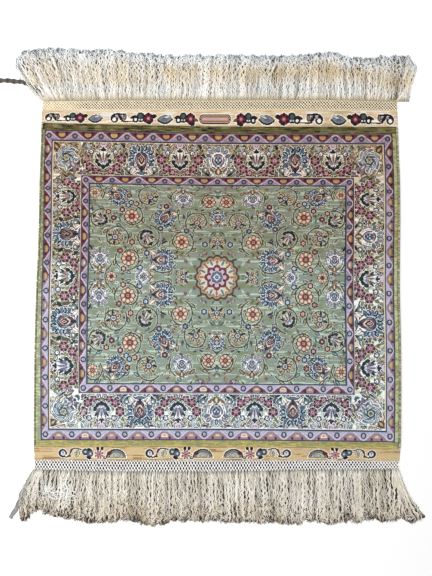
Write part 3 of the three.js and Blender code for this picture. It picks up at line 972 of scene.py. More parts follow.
# Plain pill-shaped frame in the middle of the top band: width and silk from the outside in
PILL = ((13.6, "apricot"), (12.4, "terracotta"), (11.2, "peach"), (8.4, "tan"), (3.2, "pink"))
brocade_pill = drawn(*(("vine", silk, (width, (-20, 0), (20, 0))) for width, silk in PILL))

# Flat-woven ends: ground, its streaks, how tall the motifs are for their width, how far they lie below the
# middle, and each with the place of its middle in knots, whether it is mirrored, and its stretch
BROCADES = {
    "top": ("straw", "sand straw straw straw peach pearl", 1.26, 1.2, (
        (brocade_dark_scroll, 55.0, False, 1.0), (brocade_dark_scroll, 169.0, False, 1.08),
        (brocade_short, 243.0, False, 1.0), (brocade_pill, 291.5, False, 1.0),
        (brocade_short, 342.5, True, 1.0),
        (brocade_dark_scroll, 418.0, True, 1.12), (brocade_dark_scroll, 538.0, True, 1.1),
    )),
    "bottom": ("honey", "tan honey honey straw honey straw cream", 1.08, 0.4, (
        (brocade_scroll, 94.0, False, 1.0), (brocade_scroll, 236.0, False, 1.0),
        (brocade_scroll, 366.0, True, 1.0), (brocade_scroll, 505.0, True, 1.0),
    )),
}


def band_chart(columns, rows, end):
    """Chart of a flat-woven end with its motifs."""
    ground, silks, tall, drop, motifs = BROCADES[end]
    chart = Chart(columns, rows, ground)
    streaked(chart, (0, 0, columns, rows), silks, np.random.default_rng(11), (1.1, 24))
    for motif, x, mirror, stretch in motifs:
        place = (x, rows / 2 - drop)
        chart.outlined(motif, *place, mirror=mirror, reach=64, width=1.2, size=stretch, tall=tall / stretch)
    return chart


# Mesh helpers


def new_object(name, points, faces):
    mesh = bpy.data.meshes.new(name)
    mesh.from_pydata(points.reshape(-1, 3).tolist(), [], faces)
    mesh.shade_smooth()
    mesh.update()
    thing = bpy.data.objects.new(name, mesh)
    bpy.context.scene.collection.objects.link(thing)
    return thing


def grid_faces(index):
    """Corners of the faces between neighbours in the last two directions of an array of point numbers."""
    lower, upper = index[..., :-1, :], index[..., 1:, :]
    corners = (lower[..., :-1], lower[..., 1:], upper[..., 1:], upper[..., :-1])
    return np.stack(corners, -1).reshape(-1, 4)


def add_colours(thing, name, colours, domain):
    """Stores one scene colour for each face or each point."""
    colours = colours.reshape(-1, 3)
    flat = np.ones((len(colours), 4), np.float32)
    flat[:, :3] = colours
    layer = thing.data.attributes.new(name, "FLOAT_COLOR", domain)
    layer.data.foreach_set("color", flat.ravel())


def add_map(thing, name, places):
    """Stores a UV map from one place for each corner of each face."""
    layer = thing.data.uv_layers.new(name=name)
    layer.data.foreach_set("uv", np.asarray(places, np.float32).ravel())


def declare(thing, material, slot, *nodes):
    """Gives a piece its material, hangs it on the root body and hides the nodes that it replaces; the slot is
    not used.
    """
    thing.data.materials.append(material)
    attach(thing, "root")
    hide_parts(*nodes)


def layered_noise(random, shape, *layers):
    """Sum of random fields, each with its spans and its strength."""
    return sum(smooth_noise(random, shape, *layer) for layer in layers)


def smooth_noise(random, shape, spans, strength):
    """Random field that changes over about spans cells, by up to about strength."""
    coarse = [max(2, int(round(size / span)) + 1) for size, span in zip(shape, spans)]
    values = random.uniform(-1, 1, coarse)
    for axis, size in enumerate(shape):
        places = np.linspace(0, coarse[axis] - 1, size)
        low = np.minimum(places.astype(int), coarse[axis] - 2)
        share = places - low
        share = share * share * (3 - 2 * share)
        weight = share.reshape([-1 if i == axis else 1 for i in range(2)])
        values = np.take(values, low, axis) * (1 - weight) + np.take(values, low + 1, axis) * weight
    return values * strength


def streaked(chart, box, silks, random, spans):
    """Fills a box of the chart with streaks along the rows, in silks from dark to light."""
    left, bottom, right, top = [int(round(side)) for side in box]
    shape = (top - bottom, right - left)
    values = layered_noise(random, shape, (spans, 1.0), ((spans[0] * 3, spans[1]), 0.7))
    order = values.ravel().argsort().argsort().reshape(shape) / values.size
    numbers = np.array([NUMBER[name] for name in silks.split()])
    chart.cells[bottom:top, left:right] = numbers[(order * len(numbers)).astype(int)]


def shaded_knots(chart, random):
    """Scene colour of every knot, with dye lots, weft streaks and single knots that differ a little."""
    looks = bpy.context.scene.rug_looks
    shape = chart.cells.shape
    shade = np.ones(shape)
    shade += smooth_noise(random, shape, (9, 400), looks.abrash)
    shade += smooth_noise(random, shape, (1.6, 36), looks.abrash * 1.3)
    shade += random.normal(0, looks.knot_shade, shape)
    return np.array([silk_rgb(name) for name in SILKS])[chart.cells] * shade[..., None]


def with_painted_sheen(colours, shares):
    """Colours of knots, row by row, with the cooler lots towards the bottom end, and a painted sheen and veil
    of reflected light that grow the same way.
    """
    share, sheen_share = np.array(PAINTED_SHEEN_AND_LOTS).T
    sheen_share = np.interp(shares, share, sheen_share)[:, None, None]
    return np.clip(colours * (1 + sheen_share * np.array(PAINTED_SHEEN_GAIN)) + sheen_share * np.array(PAINTED_SHEEN_VEIL), 0, 0.92)


def grid_lines(cells, rounding):
    """Chart places of the lines of a slab's grid in one direction, and how high each stands as a share."""
    near = [0.0, 0.12 * rounding, 0.4 * rounding, rounding]
    rise = [0.04, 0.62, 0.88, 1.0]
    middle = list(np.arange(2, cells - 1, 2.0))
    lines = near + middle + [cells - place for place in reversed(near)]
    return np.array(lines), np.array(rise + [1.0] * len(middle) + rise[::-1])


def beaten(rows, count):
    """Shares of the pile's length that rows of its chart lie at."""
    table = np.array(ROW_PLACES)
    return np.interp(np.asarray(rows) * table[-1, 0] / count, table[:, 0], table[:, 1])


def strayed(x, across, along):
    """Places of the pile's pattern, which doesn't quite follow the cloth's edges."""
    low, high, right = STRAY
    shift = (low + (high - low) * along) * (1 - across) + right * across
    return x + shift * np.clip(np.minimum(across, 1 - across) * 90, 0, 1)


# Places within a face of its four knots
KNOT_PLACES = ((0.25, 0.25), (0.25, 0.75), (0.75, 0.25), (0.75, 0.75))


def knotted_slab(name, region, chart, height, rounding, is_pile=False, relief=0.12 * MM, seed=1):
    """Closed slab of cloth over a region, whose faces each carry two by two knots of the chart."""
    random = np.random.default_rng(seed)
    rows, columns = chart.cells.shape
    across, rise_x = grid_lines(columns, rounding)
    along, rise_y = grid_lines(rows, rounding)
    share_x = across[None, :] / columns
    share_y = (beaten(along, rows) if is_pile else along / rows)[:, None]
    x, y = region.place(share_x, share_y)
    if is_pile:
        x = strayed(x, share_x, share_y)
    z = height * np.minimum(rise_x[None, :], rise_y[:, None])
    uneven = layered_noise(random, z.shape, ((14, 14), relief), ((5, 5), relief * 0.5))
    z = np.where(z > height * 0.95, z - np.abs(uneven), z)
    index = np.arange(z.size).reshape(z.shape)
    quads = grid_faces(index)
    rim = np.array([*index[0, :-1], *index[:-1, -1], *index[-1, :0:-1], *index[:0:-1, 0]])[::-1]
    thing = new_object(name, np.stack([x, y, z], -1), [*quads.tolist(), rim.tolist()])
    colours = shaded_knots(chart, random)
    if is_pile:
        # Painted sheen and reflected light, stronger towards the bottom end
        colours = with_painted_sheen(colours, beaten(chart.y, rows))
    for number, (up, right) in enumerate(KNOT_PLACES):
        column = np.minimum(across[:-1] + np.diff(across) * right, columns - 1).astype(int)
        row = np.minimum(along[:-1] + np.diff(along) * up, rows - 1).astype(int)
        faces = colours[row][:, column].reshape(-1, 3)
        add_colours(thing, f"knot_{number}", np.vstack([faces, colours.mean((0, 1))]), "FACE")
    corners = np.tile([(0, 0), (1, 0), (1, 1), (0, 1)], (len(quads), 1))
    add_map(thing, "knots", np.vstack([corners, np.zeros((len(rim), 2))]))
    add_map(thing, "OFBake", baked_places(across, along, quads, rim))
    return thing


def baked_places(across, along, quads, rim):
    """Layout of a slab's texture: its top over nearly all of it, and the underside in a corner."""
    margin = 0.03
    long_side = max(across[-1], along[-1])
    u = margin + (1 - margin) * 0.996 * across / long_side
    v = margin + (1 - margin) * 0.996 * along / long_side
    columns = len(across)
    top = np.stack([u[quads % columns], v[quads // columns]], -1).reshape(-1, 2)
    under = np.stack([u[rim % columns], v[rim // columns]], -1) * margin * 0.9
    return np.vstack([top, under])


def thread_mesh(name, lines, widths, height, colours, material, slot, node):
    """Joined mesh of threads, arched and open below, from an array of threads by stations by place."""
    ahead = np.gradient(lines, axis=1)
    across = np.stack([-ahead[..., 1], ahead[..., 0]], -1)
    across /= np.maximum(np.linalg.norm(across, axis=-1, keepdims=True), 1e-9)
    half = np.zeros(lines.shape)
    half[..., :2] = across * np.broadcast_to(widths, lines.shape[:2])[..., None] / 2
    points = np.stack([lines + half, lines + np.array([0, 0, height]), lines - half], 2)
    index = np.arange(points.size // 3).reshape(points.shape[:3])
    thing = new_object(name, points, grid_faces(index).tolist())
    add_colours(thing, "silk", np.repeat(colours[:, :, None, :], 3, 2), "POINT")
    declare(thing, material, slot, node)


# Shader helpers


class Wire:
    """Socket of a material's node, so that shader maths reads as an expression."""

    def __init__(self, nodes, socket):
        self.nodes = nodes
        self.socket = socket

    def maths(self, operation, *values):
        if self.socket.type == "RGBA":
            settings = {"data_type": "RGBA", "blend_type": operation}
            return self.nodes.add("Mix", settings, {0: 1.0, 6: values[0], 7: values[1]}, 2)
        return self.nodes.add("Math", {"operation": operation}, dict(enumerate(values)))

    def __add__(self, other):
        return self.maths("ADD", self, other)

    def __mul__(self, other):
        return self.maths("MULTIPLY", self, other)

    def __rsub__(self, other):
        return self.maths("SUBTRACT", other, self)

    def over(self, limit):
        """1 where the value is greater than limit, and 0 elsewhere."""
        return self.maths("GREATER_THAN", self, limit)

    def fraction(self):
        return self.maths("FRACT", self)


class Nodes:
    """Nodes of one material."""

    def __init__(self, name):
        self.material = bpy.data.materials.new(name)
        self.material.use_nodes = True
        self.tree = self.material.node_tree
        self.tree.nodes.clear()

    def add(self, kind, settings=None, sockets=None, output=0):
        """New node of a kind, with its settings and then the values or links of its sockets."""
        node = self.tree.nodes.new("ShaderNode" + kind)
        for name, value in (settings or {}).items():
            setattr(node, name, value)
        for name, value in (sockets or {}).items():
            if isinstance(value, Wire):
                self.tree.links.new(value.socket, node.inputs[name])
            else:
                node.inputs[name].default_value = value
        return Wire(self, node.outputs[output]) if len(node.outputs) else None

    def mix(self, share, low, high):
        """Colour between low and high."""
        return self.add("Mix", {"data_type": "RGBA"}, {0: share, 6: low, 7: high}, 2)

    def attribute(self, name):
        """Colour that the mesh carries under this name."""
        return self.add("Attribute", {"attribute_name": name}, None, "Color")

    def strands(self, scale):
        """Fine grain of the silk."""
        here = self.add("TexCoord", None, None, "Object")
        return self.add("TexNoise", None, {"Vector": here, "Scale": scale, "Detail": 2.0})

    def finish(self, **sockets):
        """Surface with these values, and the material that holds it."""
        named = {name.replace("_", " "): value for name, value in sockets.items()}
        shader = self.add("BsdfPrincipled", None, named)
        self.add("OutputMaterial", None, {"Surface": shader})
        return self.material


def knotted_material(name, tuft, ribs, sheen):
    """Cut or flat-woven silk whose faces each show four knots."""
    nodes = Nodes(name)
    place = nodes.add("UVMap", {"uv_map": "knots"})
    u = nodes.add("SeparateXYZ", None, {0: place}, "X")
    v = Wire(nodes, u.socket.node.outputs["Y"])
    knots = [nodes.attribute(f"knot_{number}") for number in range(4)]
    right = u.over(0.5)
    lower = nodes.mix(right, knots[0], knots[1])
    upper = nodes.mix(right, knots[2], knots[3])
    colour = nodes.mix(v.over(0.5), lower, upper)
    strands = nodes.strands(900.0)
    in_u = (u * 2).fraction()
    in_v = (v * 2).fraction()
    mound = (in_v * (1 - in_v)) * 4 * ribs + (in_u * (1 - in_u)) * 4 * (1 - ribs)
    height = mound + strands * 0.5
    return nodes.finish(
        Base_Color=colour * (strands * 0.24 + 0.88),
        Roughness=strands * 0.2 + (bpy.context.scene.rug_looks.pile_roughness - 0.1),
        Normal=nodes.add("Bump", None, {"Strength": 0.7, "Distance": tuft, "Height": height}),
        Specular_IOR_Level=0.1,
        Sheen_Weight=sheen,
        Sheen_Roughness=0.4,
    )


def thread_material(name, roughness, strength):
    """Twisted undyed or dyed silk, coloured by its mesh."""
    nodes = Nodes(name)
    silk = nodes.attribute("silk")
    fibres = nodes.strands(1400.0)
    return nodes.finish(
        Base_Color=silk * (fibres * 0.3 + 0.85),
        Roughness=fibres * 0.2 + (roughness - 0.1),
        Normal=nodes.add("Bump", None, {"Strength": strength, "Distance": 0.0002, "Height": fibres}),
        Specular_IOR_Level=0.4,
        Sheen_Weight=0.2,
        Sheen_Roughness=0.35,
    )


# Pieces

BAND_TUCK = 0.6 * MM


def cloth_regions():
    """Areas of the pile and of both flat-woven ends, which are tucked a little under the pile."""
    cloth = Outline("woven_cloth")
    pile = Region(*(cloth.line(side, 2.0 * MM) for side in ("left", "right", "bottom", "top")))
    left, right, bottom, top = (cloth.line(side, 0.6 * MM) for side in ("left", "right", "bottom", "top"))
    return {
        "pile": pile,
        "top": Region(left, right, lambda x: pile.high(x) - BAND_TUCK, top),
        "bottom": Region(left, right, bottom, lambda x: pile.low(x) + BAND_TUCK),
    }


def knots(length):
    """Even number of knots that fit a length."""
    return 2 * round(length / MM / 2)


class RUG_OT_pile(bpy.types.Operator):
    """Knots the silk pile with its borders and field"""

    bl_idname = "rug.pile"
    bl_label = "Knotted pile"

    def execute(self, context):
        height = context.scene.rug_sizes.pile_height
        material = knotted_material("cut_silk_pile", 0.00025, 0.5, 0.03)
        pile = cloth_regions()["pile"]
        chart = pile_chart(knots(pile.width(0)), knots(pile.length()))
        slab = knotted_slab("knotted_pile", pile, chart, height, 1.3, is_pile=True)
        declare(slab, material, "silk_pile", "woven_cloth")
        return {"FINISHED"}


class RUG_OT_bands(bpy.types.Operator):
    """Weaves the flat bands between pile and nets, with their brocaded motifs"""

    bl_idname = "rug.bands"
    bl_label = "Flat-woven ends"

    def execute(self, context):
        height = context.scene.rug_sizes.band_height
        material = knotted_material("flat_woven_silk", 0.00012, 0.85, 0.02)
        regions = cloth_regions()
        for end in BROCADES:
            region = regions[end]
            chart = band_chart(knots(region.width(region.low(0))), knots(region.length()), end)
            slab = knotted_slab("flat_weave_" + end, region, chart, height, 0.8, relief=0.1 * MM, seed=5)
            declare(slab, material, "silk_flatweave", "woven_cloth")
        return {"FINISHED"}


class RUG_OT_selvedges(bpy.types.Operator):
    """Overcasts both long edges with green silk"""

    bl_idname = "rug.selvedges"
    bl_label = "Overcast edges"

    def execute(self, context):
        material = thread_material("overcast_silk", 0.5, 0.6)
        for side in ("left", "right"):
            overcast_edge(side, material)
        return {"FINISHED"}


# Height of a selvedge's middle line, width of one turn of the wrapping, and share of turns in pale silk
EDGE_MIDDLE = 1.2 * MM
WRAP = 1.1 * MM
PALE_TURNS = {"left": 0.14, "right": 0.3}


def overcast_edge(side, material):
    """Cord wrapped with silk, one ridge to each turn of the wrapping."""
    node = "selvedge_" + side
    low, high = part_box(node)
    cord = Outline(node)
    outer, inner = cord.line("left", EDGE_MIDDLE), cord.line("right", EDGE_MIDDLE)
    random = seeded(3, side)
    y = np.linspace(low.y, high.y, int((high.y - low.y) / WRAP) * 3 + 1)
    ridge = 0.86 + 0.14 * np.abs(np.sin(np.pi * (y - low.y) / WRAP))
    ridge *= np.clip(np.minimum(y - low.y, high.y - y) / (1.2 * MM), 0.05, 1) ** 0.5
    centre = (outer(y) + inner(y)) / 2
    half = np.abs(outer(y) - inner(y)) / 2
    angles = np.radians(np.arange(0, 360, 45))
    x = centre[:, None] + half[:, None] * ridge[:, None] * np.cos(angles)
    slant = 0.25 * MM * np.cos(angles) * (1 if side == "left" else -1)
    z = EDGE_MIDDLE + EDGE_MIDDLE * ridge[:, None] * np.sin(angles)
    index = np.arange(x.size).reshape(x.shape)
    after = np.roll(index, -1, 1)
    quads = np.stack([index[:-1], index[1:], after[1:], after[:-1]], -1).reshape(-1, 4)
    caps = [index[0].tolist(), index[-1][::-1].tolist()]
    points = np.stack([x, y[:, None] + slant, z], -1)
    thing = new_object("overcast_edge_" + side, points, [*quads.tolist(), *caps])
    turns = ((y - low.y) / WRAP).astype(int)
    shade = 1 + 0.16 * random.standard_normal(turns.max() + 1)[turns]
    greener = smooth_noise(random, (len(y), 2), (60, 2), 0.5)[:, :1] + 0.5
    base = silk_rgb("edge_green") * (1 - greener) + silk_rgb("leaf") * greener
    pale = (random.random(turns.max() + 1) < PALE_TURNS[side])[turns]
    base = np.where(pale[:, None], silk_rgb("straw"), base)
    add_colours(thing, "silk", np.repeat((base * shade[:, None])[:, None], len(angles), 1), "POINT")
    declare(thing, material, "silk_selvedge", node)


# Nets: rows of knots, how close they lie, how wide the cords are, the shares of the net's height between
# which the open rows lie, and the tones of the cords, of the painted shade in the gaps, and of the lower
# layer where no gap shows
NETS = {
    "top": (5, 1.02, 1.0, (0.17, 0.86), (250, 236, 206), (30, 18, 6), (220, 198, 156)),
    "bottom": (4, 1.04, 1.12, (-0.02, 1.0), (253, 252, 249), (12, 10, 8), (240, 238, 230)),
}


def shades(tone, random, shape, spread):
    """Scene colours about one tone, each a little lighter or darker."""
    return linear(np.array(tone) / 255) * (1 + spread * random.standard_normal(shape))[..., None]


class RUG_OT_nets(bpy.types.Operator):
    """Knots the warps into a net past each flat-woven end"""

    bl_idname = "rug.nets"
    bl_label = "Knotted nets"

    def execute(self, context):
        material = thread_material("knotted_warps", context.scene.rug_looks.thread_roughness, 0.5)
        for end in NETS:
            knotted_net(end, context.scene.rug_sizes, material)
        return {"FINISHED"}


def net_region(end):
    """Area of a net, with its inner line as the low one at both ends."""
    middle = 0.5 * MM
    net = Outline("net_" + end)
    near = Outline("woven_cloth").line(end, middle)
    return Region(net.line("left", middle), net.line("right", middle), near, net.line(end, middle))


def net_cords(places, end):
    """Both ends of every cord between the knots of neighbouring rows, and 1 where a cord lies on top."""
    rows, columns = places.shape[:2]
    lines = []
    tops = []
    for row in range(rows - 1):
        first = 0 if row % 2 else -1
        for column in range(columns):
            for slant, other in enumerate((column + first, column + first + 1)):
                if 0 <= other < columns:
                    lines.append((places[row, column], places[row + 1, other]))
                    tops.append(slant if end == "bottom" else 1 - slant)
    return np.array(lines), np.array(tops)[:, None]


def knotted_net(end, sizes, material):
    """Staggered knots joined by short slanting cords, over a lower layer of warps that is painted dark as
    shade in the gaps.
    """
    rows, closeness, widening, (low, high), tone, _, _ = NETS[end]
    random = seeded(21, end)
    net = net_region(end)
    start = float(net.left(net.low(0)))
    stop = float(net.right(net.low(0)))
    columns = int(round((stop - start) / sizes.net_pitch * closeness))
    places = np.zeros((rows + 1, columns + 1, 3))
    for row in range(rows + 1):
        share = (np.arange(columns + 1) + (0.5 if row % 2 else 0.0) + 0.25) / (columns + 0.75)
        x = start + (stop - start) * share
        y = net.low(x) + (net.high(x) - net.low(x)) * (low + (high - low) * (row - 0.1) / rows)
        places[row, :, 0] = x + random.normal(0, 0.16 * MM, columns + 1)
        places[row, :, 1] = y + random.normal(0, 0.16 * MM, columns + 1)
    places[..., 2] = 0.35 * MM
    lines, on_top = net_cords(places, end)
    shares = np.linspace(0, 1, 4)[None, :, None]
    cords = lines[:, :1] * (1 - shares) + lines[:, 1:] * shares
    cords[..., 2] += (0.12 * np.sin(np.pi * shares[..., 0]) + 0.2 * on_top) * MM
    widths = sizes.cord_width * (1 + 0.1 * random.standard_normal(len(cords)))[:, None]
    widths = widths * ((0.84 + 0.16 * on_top) * widening)
    colours = shades(tone, random, cords.shape[:2], 0.05)
    kind = (material, "silk_net", "net_" + end)
    thread_mesh("net_cords_" + end, cords, widths, 0.55 * MM, colours, *kind)
    knot_mesh("net_knots_" + end, places.reshape(-1, 3), random, tone, *kind)
    painted_shade_warps(end, net, start, stop, random, *kind)


def knot_mesh(name, centres, random, tone, *kind):
    """Joined mesh of flat round knots."""
    turns = 8
    ball = [
        (math.cos(up) * math.cos(turn), math.cos(up) * math.sin(turn), math.sin(up))
        for up in np.radians([-50, 0, 48])
        for turn in np.radians(np.arange(0, 360, 360 // turns))
    ]
    ball = np.array([*ball, (0, 0, 1)])
    size = np.array([1.15, 0.9, 0.75]) * MM
    sizes = 1 + 0.1 * random.standard_normal((len(centres), 1, 3))
    points = centres[:, None, :] + ball[None] * size * sizes
    points[..., 2] = np.clip(points[..., 2] + 0.05 * MM, 0.02 * MM, 1.4 * MM)
    rings = np.arange(3 * turns).reshape(3, turns)
    rings = np.hstack([rings, rings[:, :1]])
    caps = np.array([(rings[2, step], rings[2, step + 1], 3 * turns) for step in range(turns)])
    first = np.arange(len(centres))[:, None, None] * len(ball)
    quads = (first + grid_faces(rings)).reshape(-1, 4)
    thing = new_object(name, points, [*quads.tolist(), *(first + caps).reshape(-1, 3).tolist()])
    colours = shades(tone, random, len(centres), 0.06)
    add_colours(thing, "silk", np.repeat(colours[:, None], len(ball), 1), "POINT")
    declare(thing, *kind)


def painted_shade_warps(end, net, start, stop, random, *kind):
    """Lower layer of the net: painted shade, dark where the gaps show it, and the warps' own light colour
    where they close up.
    """
    _, _, _, (low, high), _, painted_gap_shade, closed_tone = NETS[end]
    pitch = 2.0 * MM
    x = np.arange(start + pitch, stop - pitch / 2, pitch)
    shares = np.linspace(0.02, 0.98, 12)
    lines = np.zeros((len(x), len(shares), 3))
    lines[..., 0] = x[:, None]
    lines[..., 1] = net.low(x)[:, None] + (net.high(x) - net.low(x))[:, None] * shares
    lines[..., 2] = 0.04 * MM
    shape = lines.shape[:2]
    along = (x - start) / (stop - start)
    if end == "top":
        closing = np.clip((0.16 - along) / 0.1, 0, 1)
    else:
        closing = 0.45 * np.clip((along - 0.93) / 0.07, 0, 1)
    closing = 0.75 * closing[:, None] + smooth_noise(random, shape, (2.5, 2), 0.32) - 0.14
    closing += smooth_noise(random, shape, (12, 12), 0.1)
    closing = np.where((shares < low) | (shares > high), 0.9, np.clip(closing, 0, 0.8))[..., None]
    # Painted shade where the gaps show the lower layer, and the warps' own colour where they close up
    colours = shades(painted_gap_shade, random, shape, 0.2) * (1 - closing)
    colours += shades(closed_tone, random, shape, 0.1) * closing
    thread_mesh("net_lower_warps_" + end, lines, 2.3 * MM, 0.1 * MM, colours, *kind)


# Fringes

# Distance of the knots that the threads come out of in millimetres, how far they gather to these, how closely
# the bunches of an end lie, and how wide its locks of tips are
KNOT_SPACING = 5.1
GATHERED = {"top": 0.2, "bottom": 0.35}
PINCH = {"top": 0.66, "bottom": 0.54}
SCALLOP = 17.0

# Loose threads: bunches that wave and cross each other, and single strands astray on top. Lengths are in
# millimetres, and a bunch's pitch and the seeds are given for each end
FRINGE_PARTS = {
    "over": {
        "threads": 1180, "stations": 38, "bunch": {"top": 3.6, "bottom": 5.1}, "pinches": 4, "wave": 1.4,
        "crinkle": 1.5, "drift": 3.0, "stray": 0.6, "ragged": 1.4, "low": 0.35, "high": 1.2, "width": 0.92,
        "parted": 0.3, "seed": {"top": 34, "bottom": 64},
    },
    "cross": {
        "threads": 330, "stations": 36, "bunch": {"top": 1.2, "bottom": 1.6}, "pinches": 2, "wave": 1.0,
        "crinkle": 1.4, "drift": 4.0, "stray": 5.0, "ragged": 7.0, "low": 1.15, "high": 1.5, "width": 0.9,
        "parted": 0.0, "seed": {"top": 35, "bottom": 65},
    },
}
THREAD_ARCH = 0.42 * MM

# Tone of the threads at shares of the way from net to tip: the lighter lot, the deeper lot, and the painted
# shade of the threads below. At the bottom tips both lots darken, which is painted shade too
FRINGE_TONES = {
    "top": (
        (0.0, (232, 218, 186), (226, 208, 170), (150, 130, 96)),
        (0.08, (232, 226, 214), (224, 213, 188), (96, 86, 70)),
        (0.2, (232, 233, 234), (226, 220, 208), (80, 72, 60)),
        (0.4, (230, 226, 218), (216, 196, 156), (74, 58, 38)),
        (0.65, (230, 226, 218), (212, 190, 148), (62, 50, 34)),
        (0.82, (228, 226, 222), (218, 208, 186), (60, 54, 46)),
        (0.93, (232, 236, 240), (206, 208, 206), (56, 58, 60)),
        (1.0, (226, 230, 234), (180, 186, 188), (60, 64, 68)),
    ),
    "bottom": (
        (0.0, (236, 232, 221), (212, 204, 184), (66, 58, 46)),
        (0.25, (232, 228, 217), (212, 204, 184), (62, 54, 42)),
        (0.45, (234, 231, 222), (216, 208, 190), (44, 36, 28)),
        (0.65, (234, 229, 219), (212, 199, 177), (40, 32, 24)),
        (0.9, (230, 224, 212), (196, 180, 154), (30, 24, 18)),
        (1.0, (206, 196, 178), (142, 124, 100), (28, 22, 16)),
    ),
}

# Curled tips: how far up they start at most, the tones of four lots, the darkest of which is painted shade
# under the curls, and the shares at which one lot gives way to the next
CURL_REACH = {"top": 0.26, "bottom": 0.34}
CURL_TONES_AND_SHADE = {
    "top": ((240, 243, 246), (206, 212, 214), (128, 138, 142), (48, 56, 60)),
    "bottom": ((238, 232, 220), (196, 184, 160), (110, 92, 68), (44, 34, 26)),
}
CURL_LOTS = {"top": (0.46, 0.68, 0.8), "bottom": (0.24, 0.42, 0.58)}

# Dark locks at the left corners: route, threads, tone, how strongly they are knotted, and how much they taper
STRAY_LOCKS = {
    "top": (
        ((-295.0, 323.6), (-309.0, 338.0), (-326.0, 348.0), (-346.0, 351.0), (-371.0, 352.5)),
        56, (92, 84, 74), 0.75, -0.2,
    ),
    "bottom": (
        ((-307.0, -326.0), (-313.5, -338.0), (-317.5, -352.0), (-324.0, -366.0), (-332.0, -378.5)),
        52, (158, 154, 150), 0.15, 0.25,
    ),
}


class Fringe:
    """One end's fringe, spread evenly between its root line and its wider tip line."""

    def __init__(self, end):
        self.end = end
        self.out = 1 if end == "top" else -1
        self.rows = np.array([(*lock, 0.0, 1.1)[:5] for lock in LOCKS[end]], float).T
        root, tip_x, tip_y = self.rows[:3]
        steps = (np.diff(root) + np.hypot(np.diff(tip_x), np.diff(tip_y))) / 2
        self.reach = np.concatenate([[0], np.cumsum(steps)])
        self.length = self.reach[-1]
        self.net = Outline("net_" + end).line(end, 0.5 * MM)

    def places(self, count, random):
        """Places of threads along the fringe, in millimetres."""
        return (np.arange(count) + 0.5 + random.uniform(-0.45, 0.45, count)) / count * self.length

    def paths(self, places, share):
        """Way of each thread from the net to its tip, as x and y in metres."""
        root, tip_x, tip_y, bow, power = (np.interp(places, self.reach, row)[:, None] for row in self.rows)
        root_x = root * MM + PILE_MIDDLE.x
        root_y = self.net(root_x[:, 0])[:, None] - self.out * 1.4 * MM
        run_x = tip_x * MM + PILE_MIDDLE.x - root_x
        run_y = tip_y * MM + PILE_MIDDLE.y - root_y
        return root_x + run_x * share**power + bow * MM * np.sin(np.pi * share), root_y + run_y * share

    def shorter(self, places):
        """How much shorter than the outline the threads are, where the tips fall into rounded locks."""
        offsets = seeded(51, self.end).uniform(0, 1, 80)
        lock = places / SCALLOP + 0.25 * np.sin(places / 37)
        number = np.floor(lock).astype(int)
        inside = 2 * (lock - number) - 1
        return ((0.6 + 3.6 * offsets[number % 80] ** 2 + 3.4 * inside**2) * MM)[:, None]

    def calm(self, places, edge, least):
        """Share of a thread's waves that is left near the sides of the fringe."""
        return np.clip(np.minimum(places, self.length - places) / edge, least, 1)[:, None]

    def tones(self, lot, share):
        """Scene colours of one lot at shares of the way from the net to the tip. The third lot is the painted
        shade below.
        """
        stops = [row[0] for row in FRINGE_TONES[self.end]]
        tones = np.array([row[1 + lot] for row in FRINGE_TONES[self.end]], float).T
        return linear(np.stack([np.interp(share[0], stops, tone) for tone in tones], -1) / 255)

    def kind(self, material):
        """What every piece of the fringe is made of and replaces."""
        return material, "silk_fringe", "fringe_" + self.end


def bunched(fringe, part, places, share, random):
    """Ways of the threads, gathered to the net's knots and then into bunches, and the bunch of each."""
    pitch = part["bunch"][fringe.end]
    bunch = (places / pitch).astype(int)
    x, y = fringe.paths(places, share)
    knot = (np.floor(places / KNOT_SPACING) + 0.5) * KNOT_SPACING
    gathered = GATHERED[fringe.end] * np.clip(1 - share / 0.16, 0, 1)
    x += (fringe.paths(knot, share)[0] - x) * gathered
    middle_x, middle_y = fringe.paths((bunch + 0.5) * pitch, share)
    stations = part["stations"]
    spans = (1, stations / part["pinches"])
    pinch = PINCH[fringe.end] + smooth_noise(random, (bunch.max() + 1, stations), spans, 0.5)
    pinch = pinch * (1 - part["parted"] * np.clip((share - 0.5) / 0.4, 0, 1))
    pinch = 1 + (pinch[bunch] - 1) * np.clip(share * 4, 0, 1)
    return middle_x + (x - middle_x) * pinch, middle_y + (y - middle_y) * pinch, bunch


def fringe_waves(part, share, height, bunch, random):
    """How far the threads swing aside in millimetres: the bunches in long waves, the threads in a crinkle."""
    sizes = bpy.context.scene.rug_sizes
    bunches = (bunch.max() + 1, 1)
    length = sizes.crinkle_length * random.uniform(1.0, 2.2, bunches)
    phase = random.uniform(0, 6.3, bunches)
    waves = (np.sin(2 * np.pi * share * height / length + phase) * random.uniform(0.4, 1.0, bunches))[bunch]
    waves *= part["wave"] * (0.5 + share)
    crinkle = 2 * np.pi * share * height / sizes.crinkle_length
    crinkle = crinkle * random.uniform(0.8, 1.4, (len(bunch), 1)) + random.uniform(0, 6.3, (len(bunch), 1))
    return waves + np.sin(crinkle) * part["crinkle"] * sizes.crinkle / MM


